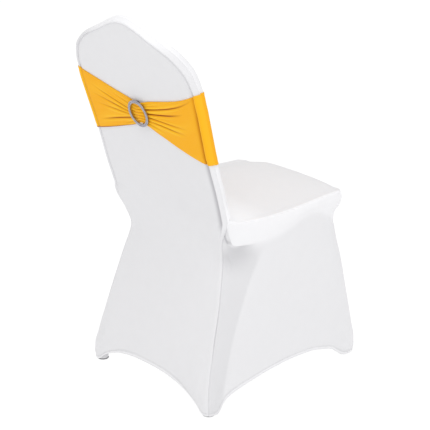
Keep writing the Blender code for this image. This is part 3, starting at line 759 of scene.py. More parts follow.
def pointNormals(points, quads):
    # the outward normal at each point, and how much a crease there narrows the cloth
    a, b, c, d = (points[quads[:, k]] for k in range(4))
    normal = np.cross(c - a, d - b)
    size = np.linalg.norm(normal, axis=1, keepdims=True)
    keep = size[:, 0] > 1e-13
    quads, normal, size = quads[keep], normal[keep], size[keep]
    total = np.zeros_like(points)
    for k in range(4):
        np.add.at(total, quads[:, k], normal / np.sqrt(size))
    total /= np.maximum(np.linalg.norm(total, axis=1, keepdims=True), 1e-12)
    lean = np.zeros(len(points))
    count = np.zeros(len(points))
    for k in range(4):
        np.add.at(lean, quads[:, k], (total[quads[:, k]] * normal / size).sum(1))
        np.add.at(count, quads[:, k], 1)
    return total, np.clip(lean / np.maximum(count, 1), 0.6, 1)


def shellFaces(quads):
    # faces of a thin closed body: outer, inner and the edges, from the outer faces alone
    used, flat = np.unique(quads, return_inverse=True)
    quads = flat.reshape(-1, 4)
    count = len(used)
    faces, edges = [], set()
    for quad in quads.tolist():
        face = [p for i, p in enumerate(quad) if p != quad[i - 1]]
        if len(set(face)) < 3 or len(set(face)) != len(face):
            continue
        faces.append(face)
        edges.update(zip(face, face[1:] + face[:1]))
    back = [[p + count for p in reversed(face)] for face in faces]
    walls = [[b, a, a + count, b + count] for a, b in edges if (b, a) not in edges]
    return used, faces + back + walls


def addMesh(name, points, faces, material, smooth=True):
    mesh = bpy.data.meshes.new(name)
    mesh.from_pydata(np.asarray(points, float).tolist(), [], faces)
    mesh.validate()
    mesh.materials.append(material)
    made = bpy.data.objects.new(name, mesh)
    bpy.context.scene.collection.objects.link(made)
    if smooth:
        mesh.shade_smooth()
    else:
        mesh.shade_flat()
    return made


def addTone(made, values, name="tone"):
    mark = made.data.attributes.new(name, "FLOAT", "POINT")
    mark.data.foreach_set("value", np.asarray(values, np.float32))


def addWeave(made, uv):
    # the cloth's own lengths as a map, so the knit follows the cut
    layer = made.data.uv_layers.new(name="cloth")
    corner = np.zeros(len(made.data.loops), np.int32)
    made.data.loops.foreach_get("vertex_index", corner)
    layer.data.foreach_set("uv", np.asarray(uv, np.float32)[corner].reshape(-1))


def settleIn(made, node):
    # the piece stands for a node of the frame
    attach(made, "root")
    if node:
        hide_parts(*([node] if isinstance(node, str) else node))
    return made


class Nodes:
    # a material's node tree, with short calls to add to it
    def __init__(self, name):
        self.material = bpy.data.materials.new(name)
        self.material.use_nodes = True
        self.tree = self.material.node_tree
        self.shader = self.tree.nodes["Principled BSDF"]

    def add(self, kind, **settings):
        node = self.tree.nodes.new(kind)
        for key, value in settings.items():
            setattr(node, key, value)
        return node

    def link(self, source, target):
        self.tree.links.new(source, target)

    def math(self, operation, first, second=None):
        node = self.add("ShaderNodeMath", operation=operation)
        for socket, value in zip(node.inputs, (first, second)):
            if isinstance(value, (int, float)):
                socket.default_value = value
            elif value is not None:
                self.link(value, socket)
        return node.outputs[0]

    def mixColour(self, factor, first, second, blend="MIX"):
        node = self.add("ShaderNodeMix", data_type="RGBA", blend_type=blend)
        for socket, value in zip((node.inputs[0], node.inputs[6], node.inputs[7]), (factor, first, second)):
            if isinstance(value, (int, float, tuple)):
                socket.default_value = value
            else:
                self.link(value, socket)
        return node.outputs[2]

    def noise(self, scale, detail):
        place = self.add("ShaderNodeTexCoord").outputs["Object"]
        node = self.add("ShaderNodeTexNoise")
        self.link(place, node.inputs["Vector"])
        node.inputs["Scale"].default_value = scale
        node.inputs["Detail"].default_value = detail
        return node.outputs["Fac"]

    def attribute(self, name):
        return self.add("ShaderNodeAttribute", attribute_name=name).outputs["Fac"]

    def set(self, **values):
        for key, value in values.items():
            self.shader.inputs[key.replace("_", " ")].default_value = value

    def bump(self, height, distance, strength):
        node = self.add("ShaderNodeBump")
        node.inputs["Strength"].default_value = strength
        node.inputs["Distance"].default_value = distance
        self.link(height, node.inputs["Height"])
        self.link(node.outputs["Normal"], self.shader.inputs["Normal"])


def knitHeight(made, wale, course):
    # rows of small V-shaped loops, wale apart across the cloth and course apart along it
    place = made.add("ShaderNodeUVMap", uv_map="cloth").outputs[0]
    split = made.add("ShaderNodeSeparateXYZ")
    made.link(place, split.inputs[0])
    across = made.math("DIVIDE", split.outputs[0], wale)
    inLoop = made.math("ABSOLUTE", made.math("SUBTRACT", made.math("FRACT", across), 0.5))
    down = made.math("DIVIDE", split.outputs[1], course)
    slant = made.math("ADD", down, made.math("MULTIPLY", inLoop, 1.6))
    loop = made.math("SINE", made.math("MULTIPLY", slant, 6.2832))
    rib = made.math("SINE", made.math("MULTIPLY", made.math("FRACT", across), 3.1416))
    return made.math("ADD", made.math("MULTIPLY", loop, 0.35), rib)


whiteKnit = {
    "thin": (0.760, 0.757, 0.774, 1),     # stretched over a hollow, and in painted shade
    "padded": (0.965, 0.963, 0.980, 1),   # lying on padding, and in painted light
    "creased": (0.420, 0.415, 0.440, 1),  # painted shade in a trough or a tuck
    "wale": 0.0009,
    "course": 0.0007,
    "rough": 0.72,
}


def clothMaterial(name, look):
    made = Nodes(name)
    tone = made.attribute("tone")
    # between the thin, shaded colour and the padded, lit one: painted light and shade
    colour = made.mixColour(tone, look["thin"], look["padded"])
    # then darker where painted shade falls
    colour = made.mixColour(made.attribute("crease"), colour, look["creased"])
    mottle = made.math("MULTIPLY_ADD", made.noise(38, 3), 0.03)
    mottle.node.inputs[2].default_value = 0.985
    grey = made.add("ShaderNodeCombineColor")
    for socket in grey.inputs[:3]:
        made.link(mottle, socket)
    colour = made.mixColour(1.0, colour, grey.outputs[0], "MULTIPLY")
    made.link(colour, made.shader.inputs["Base Color"])
    made.set(Roughness=look["rough"], Sheen_Weight=0.18, Sheen_Roughness=0.45)
    made.shader.inputs["Specular IOR Level"].default_value = 0.25
    made.bump(knitHeight(made, look["wale"], look["course"]), 0.00012, 0.45)
    return made.material


goldKnit = {
    # lit is a painted highlight for ridges, the last colour painted shade for folds
    "lit": (1.000, 0.570, 0.024, 1),
    "plain": (0.965, 0.455, 0.010, 1),
    "fold": (0.300, 0.045, 0.000, 1),
    "wale": 0.0006,
    "course": 0.0005,
    "rough": 0.55,
}


def sashMaterial(look):
    made = Nodes("sashKnit")
    fold = made.attribute("fold")
    ridge = made.attribute("ridge")
    # painted highlight on ridges, then painted shade in folds
    colour = made.mixColour(ridge, look["plain"], look["lit"])
    colour = made.mixColour(fold, colour, look["fold"])
    made.link(colour, made.shader.inputs["Base Color"])
    made.set(Roughness=look["rough"], Sheen_Weight=0.12, Sheen_Roughness=0.35)
    made.shader.inputs["Sheen Tint"].default_value = (1.0, 0.62, 0.10, 1)
    made.shader.inputs["Specular IOR Level"].default_value = 0.12
    made.bump(knitHeight(made, look["wale"], look["course"]), 0.00008, 0.4)
    return made.material


threadColours = {"white": (0.92, 0.92, 0.93, 1), "gold": (0.80, 0.36, 0.02, 1)}


def threadMaterial(name, colour):
    # a twisted sewing thread
    made = Nodes(name)
    place = made.add("ShaderNodeTexCoord").outputs["Object"]
    wave = made.add("ShaderNodeTexWave", bands_direction="DIAGONAL")
    made.link(place, wave.inputs["Vector"])
    wave.inputs["Scale"].default_value = 900
    shade = made.mixColour(wave.outputs["Fac"], tuple(0.82 * c for c in colour[:3]) + (1,), colour)
    made.link(shade, made.shader.inputs["Base Color"])
    made.set(Roughness=0.5, Sheen_Weight=0.2)
    made.bump(wave.outputs["Fac"], 0.00006, 0.5)
    return made.material


def metalMaterial(name, colour, rough):
    # cast and plated: faint rub marks and a duller bloom
    made = Nodes(name)
    rub = made.noise(900, 4)
    bloom = made.noise(70, 2)
    shade = made.mixColour(bloom, colour, tuple(0.86 * c for c in colour[:3]) + (1,))
    made.link(shade, made.shader.inputs["Base Color"])
    made.set(Metallic=1.0)
    made.link(made.math("MULTIPLY_ADD", rub, 0.18), made.shader.inputs["Roughness"])
    made.shader.inputs["Roughness"].links[0].from_node.inputs[2].default_value = rough
    made.bump(rub, 0.00004, 0.3)
    return made.material


def stoneMaterial():
    # cut glass with a mirror backing
    made = Nodes("cutStone")
    # each stone's colour runs from dark to bright at random: painted glints
    glint = made.mixColour(made.noise(420, 1), (0.16, 0.15, 0.19, 1), (0.80, 0.79, 0.88, 1))
    made.link(glint, made.shader.inputs["Base Color"])
    made.set(Metallic=0.85, Roughness=0.06, Coat_Weight=1.0, Coat_Roughness=0.02)
    return made.material


def soleMaterial():
    made = Nodes("soleFelt")
    fleck = made.noise(1400, 3)
    shade = made.mixColour(fleck, (0.30, 0.30, 0.31, 1), (0.46, 0.46, 0.47, 1))
    made.link(shade, made.shader.inputs["Base Color"])
    made.set(Roughness=0.85)
    made.shader.inputs["Specular IOR Level"].default_value = 0.2
    made.bump(fleck, 0.0003, 0.6)
    return made.material


def stitchRun(line, normals, pitch, size):
    # short raised threads along a line that lies on the cloth
    long, wide, high = size
    sunk = 0.0001
    length = np.concatenate([[0], np.cumsum(np.linalg.norm(np.diff(line, axis=0), axis=1))])
    count = max(int(length[-1] / pitch), 1)
    points, faces = [], []
    bow = ((-1, 0.0), (-0.62, 0.85), (0, 1.0), (0.62, 0.85), (1, 0.0))
    arc = ((-1, 0.0), (-0.5, 0.8), (0.5, 0.8), (1, 0.0))
    for i in range(count):
        at = (i + 0.5) * length[-1] / count
        place = np.array([np.interp(at, length, line[:, k]) for k in range(3)])
        ahead = np.array([np.interp(at + 0.001, length, line[:, k]) for k in range(3)])
        behind = np.array([np.interp(at - 0.001, length, line[:, k]) for k in range(3)])
        up = np.array([np.interp(at, length, normals[:, k]) for k in range(3)])
        way = ahead - behind
        if np.linalg.norm(way) < 1e-9 or np.linalg.norm(up) < 1e-9:
            continue
        way = unit(way)
        up = unit(up - way * (up @ way))
        over = np.cross(way, up)
        start = len(points)
        for s, swell in bow:
            for w, h in arc:
                offset = way * s * long / 2 + over * w * swell * wide / 2
                points.append(place + offset + up * (h * swell * high - sunk))
        for a in range(len(bow) - 1):
            for b in range(len(arc) - 1):
                p = start + a * len(arc) + b
                faces.append([p, p + 1, p + 1 + len(arc), p + len(arc)])
    return np.array(points), faces


def stitchPiece(name, runs, pitch, size, material):
    # many runs of stitches as one mesh
    points, faces, start = [], [], 0
    for line, normals in runs:
        some, new = stitchRun(line, normals, pitch, size)
        if len(some) == 0:
            continue
        points.append(some)
        faces += [[p + start for p in face] for face in new]
        start += len(some)
    return addMesh(name, np.concatenate(points), faces, material)


def lineAt(distance, target, points, normals):
    # the line on a grid where the distance along its first axis has a value
    ends = []
    for j in range(distance.shape[1]):
        order = np.argsort(distance[:, j])
        row = [np.interp(target, distance[order, j], points[order, j, k]) for k in range(3)]
        row += [np.interp(target, distance[order, j], normals[order, j, k]) for k in range(3)]
        ends.append(row)
    ends = np.array(ends)
    return ends[:, :3], ends[:, 3:]


panelNames = {
    "back_panel": "backPanel",
    "front_panel": "frontPanel",
    "side_panel_left": "sidePanelLeft",
    "side_panel_right": "sidePanelRight",
}


def buildCover(material, thread):
    grids = coverGrids()
    points, places = weldPanels(grids)
    points = settle(points)
    quads = {name: quadsOf(index) for name, index in places.items()}
    normals, narrow = pointNormals(points, np.concatenate(list(quads.values())))
    lift = np.zeros(len(points))
    tone = np.zeros(len(points))
    crease = np.zeros(len(points))
    uv = np.zeros((len(points), 2))
    distances = {}
    for name, index in places.items():
        grid = points[index]
        some, fromSeam, fromHem = reliefOf(name, grid)
        lift[index] = some
        tone[index] = toneOf(name, grid, fromSeam, fromHem)
        crease[index] = np.maximum(crease[index], paintedShadeOf(name, grid, fromSeam, fromHem))
        distances[name] = (fromSeam, fromHem)
    quiet = 1 - rise(points[:, 2], 0.57, 0.60) * (1 - rise(points[:, 2], 0.80, 0.83))
    lift += (drift(points) + legPulls(points)) * (0.3 + 0.7 * quiet)
    outer = points + normals * lift[:, None]
    inner = points - normals * (cover["cloth"] / narrow)[:, None]
    outer[:, 1] += shiftY
    inner[:, 1] += shiftY
    made, hemLines, seamLines = {}, [], []
    for name, index in places.items():
        shown = outer.copy()
        pullSeams(shown, index)
        used, faces = shellFaces(quads[name])
        piece = addMesh(panelNames[name], np.vstack([shown[used], inner[used]]), faces, material)
        across, down = lengths(points[index], 1), lengths(points[index], 0)
        middle = across[:, across.shape[1] // 2, None]
        uv[index] = np.stack([across - middle, down], axis=-1)
        addTone(piece, np.tile(np.clip(tone[used], 0, 1), 2))
        addTone(piece, np.tile(crease[used], 2), "crease")
        addWeave(piece, np.tile(uv[used], (2, 1)))
        made[name] = settleIn(piece, name)
        fromSeam, fromHem = distances[name]
        for row in cover["hemRows"]:
            hemLines.append(lineAt(fromHem, row, outer[index], normals[index]))
        if name.startswith("side"):
            half = fromSeam.shape[1] // 2
            for part in (slice(0, half), slice(half, None)):
                spots = outer[index][8:, part].swapaxes(0, 1)
                ways = normals[index][8:, part].swapaxes(0, 1)
                seamLines.append(lineAt(fromSeam[8:, part].T, cover["sideStitchIn"], spots, ways))
            top = slice(0, 30)
            seamLines.append(
                lineAt(down[top], cover["sideStitchIn"], outer[index][top], normals[index][top])
            )
        if name == "back_panel":
            for part in (slice(0, 40), slice(-40, None)):
                width = across[:rimRows]
                away = np.minimum(width[:, part], width[:, -1:] - width[:, part]).T
                spots = outer[index][:rimRows, part].swapaxes(0, 1)
                ways = normals[index][:rimRows, part].swapaxes(0, 1)
                seamLines.append(lineAt(away, cover["rimStitchIn"], spots, ways))
    hems = stitchPiece("hemStitches", hemLines, cover["stitchPitch"], cover["hemStitch"], thread)
    seams = stitchPiece("seamStitches", seamLines, cover["stitchPitch"], cover["seamStitch"], thread)
    for piece in (hems, seams):
        settleIn(piece, None)
    return made, hems, seams


def pullSeams(points, index):
    # draws a panel back by half the seam gap along both of its long edges
    for edge, beside in ((index[:, 0], index[:, 1]), (index[:, -1], index[:, -2])):
        way = points[beside] - points[edge]
        size = np.linalg.norm(way, axis=1, keepdims=True)
        points[edge] += way / np.maximum(size, 1e-6) * np.minimum(cover["seamGap"] / 2, size * 0.4)


sash = {
    "cloth": 0.0012,
    "clear": 0.0014,
    "hemDeep": 0.006,
    "bulk": 0.0024,         # how thick the bunched cloth grows by the ring
    "bulkReach": 0.060,
    # strength of the painted shade along the trough under the sash
    "troughDark": 0.60,
    "stitchPitch": 0.0030,
    "stitch": (0.0022, 0.0005, 0.0003),
    "stitchIn": 0.0014,     # how far the stitching lies inside the turned edge
    "stations": 230,
    "rows": 104,
}

# Lower and upper edge of the sash across the rear: x, low, high
sashRear = (
    (-0.2200, 0.6190, 0.7960),
    (-0.1900, 0.6228, 0.7815),
    (-0.1500, 0.6305, 0.7660),
    (-0.1110, 0.6403, 0.7552),
    (-0.0700, 0.6528, 0.7455),
    (-0.0400, 0.6620, 0.7385),
    (-0.0130, 0.6725, 0.7312),
    (0.0030, 0.6785, 0.7275),
    (0.0190, 0.6728, 0.7292),
    (0.0420, 0.6632, 0.7342),
    (0.0700, 0.6545, 0.7395),
    (0.1110, 0.6422, 0.7490),
    (0.1600, 0.6283, 0.7605),
    (0.2200, 0.6135, 0.7750),
)

# Folds that run out from the ring: side, place at the ring and far out (-1 low edge to 1 high),
# where the fold starts and how far it reaches, depth, half width, strength of its painted shade
folds = (
    (-1, 0.40, 0.95, 0.020, 0.215, 0.0032, 0.0023, 1.30),
    (-1, 0.10, 0.52, 0.022, 0.165, 0.0036, 0.0025, 1.60),
    (-1, -0.14, 0.00, 0.024, 0.175, 0.0024, 0.0023, 0.70),
    (-1, -0.34, -0.23, 0.046, 0.165, 0.0022, 0.0022, 0.80),
    (-1, -0.62, -0.60, 0.026, 0.090, 0.0014, 0.0022, 0.25),
    (-1, 0.66, 0.80, 0.020, 0.090, 0.0012, 0.0020, 0.20),
    (1, 0.05, 0.66, 0.024, 0.180, 0.0026, 0.0022, 0.75),
    (1, -0.12, 0.32, 0.024, 0.185, 0.0028, 0.0022, 0.80),
    (1, -0.26, -0.05, 0.026, 0.180, 0.0024, 0.0021, 0.60),
    (1, -0.46, -0.70, 0.024, 0.185, 0.0030, 0.0024, 1.10),
    (1, 0.42, 0.80, 0.022, 0.100, 0.0012, 0.0022, 0.22),
    (1, -0.74, -0.88, 0.022, 0.080, 0.0012, 0.0020, 0.22),
)

ring = {
    "x": 0.003,
    "z": 0.703,
    "outer": 0.0342,
    "inner": 0.0270,
    "lift": 0.0074,
    "thick": 0.0036,
    "barWide": 0.005,
    "barThick": 0.0016,
    "barLift": 0.0009,
    "post": 0.0030,
    "stoneRows": (0.0288, 0.0324),
    "stone": 0.00145,
    "grain": 0.00042,
    "grains": 62,
    "plate": (0.42, 0.41, 0.46, 1),
    "plateRough": 0.22,
}


def shareAtHeight(z):
    shares = np.linspace(0.4, 1, 121)
    heights = along(outline, shares)[:, 1]
    return np.interp(z, heights[::-1], shares[::-1])


def edgePlace(k, z, columns, out):
    # a point of the edge section beside the sash, on the rear or the front
    share = float(shareAtHeight(z))
    seam, inward = rimFrame(share)
    section = edgeSection(share, columns)
    return seam + inward * section[k, 0] + out * section[k, 1]


def sashStations():
    # a base line of points up the sash for each station of its way round the back
    last = len(edgeRows) - 1
    heights = np.linspace(0.60, 0.81, 43)
    rear, front = {}, {}
    for k in range(last + 1):
        rear[k] = np.array([edgePlace(k, z, [0, 1], backOut) for z in heights])
        if k % 3 == 0:
            front[k] = np.array([edgePlace(k, z, [2, 3], -backOut) for z in heights])
    flip = np.array([-1.0, 1, 1])
    stations = []
    for u in np.linspace(-1, 1, sash["stations"]):
        stations.append((rear[last] * np.array([u, 1, 1]), onFlat, True))
    places = (np.arange(last + 1) / last) ** sectionPower * onFlat
    for k in range(last - 1, -1, -1):
        stations.append((rear[k], places[k], True))
    for k in range(3, last + 1, 3):
        stations.append((front[k], onFlat, False))
    end = front[last]
    for u in np.linspace(1, -1, 41)[1:-1]:
        middle = end - backOut * spline(frontPad, end[:, 2])
        line = end * np.array([u, 1, 1])
        line[:, 1:] += (middle - end)[:, 1:] * (1 - abs(u) ** 2.6)
        stations.append((line, onFlat, False))
    for k in range(last, 2, -3):
        stations.append((front[k] * flip, onFlat, False))
    for k in range(0, last):
        stations.append((rear[k] * flip, places[k], True))
    return stations, heights


def sashDetail(x, b, half):
    # lift of the gathered cloth, the painted shade deep in its folds and the painted highlight where it
    # stands up to the light
    away = np.abs(x - ring["x"])
    height = b * half
    lift = sash["bulk"] * bell(away, sash["bulkReach"]) * np.sqrt(np.maximum(1 - b**2, 0.0) + 0.05)
    lift = lift + 0.0022 * bell(away, 0.016) + 0.0016 * bell(away, 0.012) * (1 - b * b)
    fold = np.zeros_like(lift)
    ridge = np.zeros_like(lift)
    for side, bNear, bFar, start, reach, deep, wide, dark in folds:
        share = np.clip((away - start) / (reach - start), 0, 1)
        centre = (bNear + (bFar - bNear) * share**0.85) * half
        on = ((x - ring["x"]) * side > 0) * rise(away, start - 0.012, start + 0.006)
        fade = on * (1 - rise(share, 0.35, 1.0))
        width = wide * (0.75 + 0.9 * share)
        away2 = (height - centre) / width
        lift = lift - deep * fade * (bell(away2, 1) - 0.45 * bell(np.abs(away2) - 1.9, 0.9))
        fold = fold + dark * fade * bell(away2, 0.50)
        ridge = ridge + fade * bell(np.abs(away2) - 1.8, 0.9)
    # the close pleats right by the ring, and the short wrinkles inside it, with painted shade in their
    # hollows and a painted highlight on their crests
    near = bell(away, 0.040)
    pleat = np.cos(6.6 * np.pi * b + 2.2 * np.sin(40 * x) + 0.6)
    lift = lift + 0.0010 * near * pleat
    fold = fold + 0.42 * bell(away, 0.030) * np.clip(-pleat, 0, 1) ** 2
    # a painted shadow just inside the ring, on its -x side
    fold = fold + 0.35 * bell(x - ring["x"] + 0.020, 0.0035) * (1 - rise(np.abs(b), 0.6, 0.9))
    ridge = ridge + 0.5 * near * np.clip(pleat, 0, 1)
    # slow ripples in the wide parts, with a painted highlight on their crests
    slow = np.sin(5.2 * b + 31 * x) * rise(away, 0.02, 0.06) * (1 - rise(away, 0.17, 0.21))
    lift = lift + 0.0005 * slow
    return lift, np.clip(fold, 0, 1), np.clip(ridge + 0.25 * slow, 0, 1)


def buildSash(material, thread):
    stations, heights = sashStations()
    b = np.linspace(-1, 1, sash["rows"])
    turn = [i for i, (_, _, isRear) in enumerate(stations) if not isRear]
    grid = np.zeros((len(stations), len(b), 3))
    lift = np.zeros(grid.shape[:2])
    fold, ridge = np.zeros_like(lift), np.zeros_like(lift)
    for i, (line, place, isRear) in enumerate(stations):
        x = float(np.interp(0.70, heights, line[:, 0]))
        if isRear:
            low, high = spline(sashRear, x)[0]
        else:
            share = (i - turn[0]) / (turn[-1] - turn[0])
            low, high = mix(spline(sashRear, 0.22)[0], spline(sashRear, -0.22)[0], share)
        z = low + (high - low) * (b + 1) / 2
        grid[i] = np.column_stack([spline(line[:, [2, 0, 1]], z), z])
        if isRear:
            lift[i], fold[i], ridge[i] = sashDetail(x, b, (high - low) / 2)
            # the trough of the backrest edge shows through as a dip, with painted shade along it and a
            # painted highlight on the rim beyond
            lift[i] -= 0.0008 * bell(place - 4.2, 0.5)
            fold[i] += sash["troughDark"] * bell(place - 4.62, 0.58) * (1 - 0.5 * rise(b, 0.2, 1.0))
            ridge[i] += 0.9 * bell(place - 3.2, 0.6) + 0.5 * (1 - rise(np.full(len(b), place), 1.0, 3.0))
            # the low left edge stands off a little, and the shade beneath it is painted along the edge as a
            # dark line
            fold[i] += 0.9 * rise(-b, 0.965, 0.985) * rise(np.full(len(b), x), 0.012, 0.03)
    # under the ring's rim the cloth is pressed flat
    gap = np.hypot(grid[..., 0] - ring["x"], (grid[..., 2] - ring["z"]) * np.hypot(1, chair["backSlope"]))
    pressed = bell(gap - (ring["outer"] + ring["inner"]) / 2, 0.0062)
    lift = np.minimum(lift, mix(np.full_like(lift, 0.02), 0.0036, pressed))
    roundWay = np.roll(grid, -1, axis=0) - np.roll(grid, 1, axis=0)
    upWay = np.gradient(grid, axis=1)
    out = np.cross(upWay, roundWay)
    out /= np.linalg.norm(out, axis=2)[:, :, None]
    nearRing = bell(np.hypot(grid[..., 0] - ring["x"], grid[..., 2] - ring["z"]), 0.05)
    atEdge = rise(np.abs(b), 0.80, 0.98)[None, :] * (1 - nearRing)
    clear = mix(sash["clear"] + np.maximum(lift, -0.0010), 0.0005 + 0.6 * np.maximum(lift, 0), atEdge)
    length = lengths(grid, 1)
    fromEdge = np.minimum(length, length[:, -1:] - length)
    turned = 0.0005 * (1 - rise(fromEdge, sash["hemDeep"] - 0.0006, sash["hemDeep"] + 0.0006))
    turned = turned - 0.0005 * bell(fromEdge - sash["hemDeep"] + sash["stitchIn"], 0.0007)
    inner = grid + out * clear[..., None]
    outer = grid + out * (clear + sash["cloth"] + turned)[..., None]
    for part in (inner, outer):
        part[..., 1] += shiftY
    count, rows = lift.shape
    index = np.arange(count * rows).reshape(count, rows)
    index = np.vstack([index, index[:1]]).T[::-1]
    used, faces = shellFaces(quadsOf(index))
    points = np.vstack([outer.reshape(-1, 3)[used], inner.reshape(-1, 3)[used]])
    piece = addMesh("sashBand", points, faces, material)
    addTone(piece, np.tile(fold.reshape(-1)[used], 2), "fold")
    addTone(piece, np.tile(ridge.reshape(-1)[used], 2), "ridge")
    steps = np.linalg.norm(np.diff(grid[:, rows // 2], axis=0), axis=1)
    travelled = np.concatenate([[0], np.cumsum(steps)])
    uv = np.stack([length, np.repeat(travelled[:, None], rows, axis=1)], axis=-1).reshape(-1, 2)
    addWeave(piece, np.tile(uv[used], (2, 1)))
    settleIn(piece, "sash")
    runs = []
    for way in (1, -1):
        spots = length if way == 1 else length[:, -1:] - length
        target = sash["hemDeep"] - sash["stitchIn"]
        runs.append(lineAt(spots.T, target, outer.swapaxes(0, 1), out.swapaxes(0, 1)))
    stitches = stitchPiece("sashStitches", runs, sash["stitchPitch"], sash["stitch"], thread)
    settleIn(stitches, None)
    return piece, stitches


def sweepLoop(section, spots, closed):
    # a closed section carried along frames of (place, side way, up way)
    points, faces = [], []
    count = len(section)
    for place, sideWay, upWay in spots:
        points += [place + sideWay * a + upWay * c for a, c in section]
    total = len(spots)
    for i in range(total if closed else total - 1):
        j = (i + 1) % total
        for k in range(count):
            m = (k + 1) % count
            faces.append([i * count + k, j * count + k, j * count + m, i * count + m])
    if not closed:
        faces.append(list(range(count)))
        faces.append([(total - 1) * count + k for k in range(count)][::-1])
    return points, faces


def buildRing(metal, stoneLook):
    centre = backPlane(ring["x"], ring["z"]) + np.array([0, shiftY, 0])
    across = np.array([1.0, 0, 0])
    up = unit(np.array([0.0, chair["backSlope"], 1.0]))
    middle = (ring["outer"] + ring["inner"]) / 2
    half = (ring["outer"] - ring["inner"]) / 2
    thick = ring["thick"]
    # band section: rounded back, raised lips and a shallow channel for the stones
    section = [(half * np.cos(a), -0.5 * thick * abs(np.sin(a)) ** 0.6) for a in np.linspace(0, np.pi, 9)]
    section += [(-half, 0.30 * thick), (-half + 0.0003, 0.5 * thick), (-half + 0.0008, 0.46 * thick)]
    section += [(-half + 0.0010, 0.28 * thick), (-0.0002, 0.28 * thick)]
    section += [(0, 0.36 * thick), (0.0002, 0.28 * thick), (half - 0.0010, 0.28 * thick)]
    section += [(half - 0.0008, 0.46 * thick), (half - 0.0003, 0.5 * thick), (half, 0.30 * thick)]
    spots = []
    for turn in np.linspace(0, 2 * np.pi, 144, endpoint=False):
        way = across * np.cos(turn) + up * np.sin(turn)
        spots.append((centre + way * middle + backOut * (ring["lift"] + thick / 2), way, backOut))
    points, faces = sweepLoop(section, spots, True)
    # the bar behind the cloth, bent up at both ends to meet the rim
    reach = middle + ring["post"] / 2
    low = ring["barLift"] + ring["barThick"] / 2
    path = [(reach - 0.0015, ring["lift"] + 0.001), (reach - 0.0015, low + 0.0022)]
    path += [(reach - 0.0021, low + 0.0007)]
    path += [(reach - 0.0037, low)] + [(s * (reach - 0.0037), low) for s in np.linspace(0.9, -0.9, 13)]
    path += [(-u, q) for u, q in path[3::-1]]
    turns = np.linspace(0, 2 * np.pi, 14, endpoint=False)
    bar = [(ring["barWide"] / 2 * np.cos(a), ring["barThick"] / 2 * np.sin(a)) for a in turns]
    path = np.array(path)
    step = np.gradient(path, axis=0)
    barSpots = []
    for (u, q), (du, dq) in zip(path, step):
        size = np.hypot(du, dq)
        normal = (up * dq - backOut * du) / size
        barSpots.append((centre + up * u + backOut * q, across, normal))
    more, moreFaces = sweepLoop(bar, barSpots, False)
    faces += [[p + len(points) for p in face] for face in moreFaces]
    points += more
    band = addMesh("ringBand", points, faces, metal)
    settleIn(band, "ring_buckle")
    stones = buildStones(centre, across, up, stoneLook)
    grains = buildGrains(centre, across, up, metal)
    return band, stones, grains


def buildStones(centre, across, up, look):
    # two rings of cut stones: girdle, crown and table, each facet flat
    points, faces = [], []
    top = ring["lift"] + ring["thick"] * 0.78
    size = ring["stone"]
    for row, radius in enumerate(ring["stoneRows"]):
        count = int(2 * np.pi * radius / (size * 2.12))
        for i in range(count):
            turn = 2 * np.pi * (i + 0.5 * row) / count
            way = across * np.cos(turn) + up * np.sin(turn)
            side = np.cross(way, backOut)
            tilt = 0.10 * np.sin(7.1 * i + 3.3 * row)
            out = unit(backOut + way * tilt + side * 0.10 * np.cos(5.3 * i))
            place = centre + way * radius + backOut * top
            start = len(points)
            for r, h, shift in ((1.0, -0.15, 0), (1.0, 0.12, 0), (0.80, 0.38, 0.5), (0.52, 0.56, 0)):
                for k in range(8):
                    a = 2 * np.pi * (k + shift) / 8
                    points.append(place + (way * np.cos(a) + side * np.sin(a)) * size * r + out * size * h)
            for k in range(8):
                m = (k + 1) % 8
                faces.append([start + k, start + m, start + 8 + m, start + 8 + k])
                faces.append([start + 8 + k, start + 8 + m, start + 16 + k])
                faces.append([start + 8 + m, start + 16 + m, start + 16 + k])
                faces.append([start + 16 + k, start + 24 + m, start + 24 + k])
                faces.append([start + 16 + k, start + 16 + m, start + 24 + m])
            faces.append([start + 24 + k for k in range(8)])
    piece = addMesh("ringStones", points, faces, look, smooth=False)
    return settleIn(piece, None)


def buildGrains(centre, across, up, look):
    # tiny beads of metal that hold the stones
    points, faces = [], []
    size = ring["grain"]
    count = ring["grains"]
    middle = (ring["inner"] + ring["outer"]) / 2
    for radius in (ring["inner"] + 0.0003, middle, ring["outer"] - 0.0003):
        for i in range(count):
            turn = 2 * np.pi * (i + 0.25) / count
            way = across * np.cos(turn) + up * np.sin(turn)
            side = np.cross(way, backOut)
            place = centre + way * radius + backOut * (ring["lift"] + ring["thick"] * 0.86)
            start = len(points)
            for r, h in ((1.0, -0.6), (0.92, 0.3), (0.5, 0.85)):
                for k in range(6):
                    a = 2 * np.pi * k / 6
                    around = way * np.cos(a) + side * np.sin(a)
                    points.append(place + around * size * r + backOut * size * h)
            points.append(place + backOut * size)
            for j in range(2):
                for k in range(6):
                    m = (k + 1) % 6
                    a = start + j * 6
                    faces.append([a + k, a + m, a + 6 + m, a + 6 + k])
            for k in range(6):
                faces.append([start + 12 + k, start + 12 + (k + 1) % 6, start + 18])
    piece = addMesh("ringGrains", points, faces, look)
    return settleIn(piece, None)


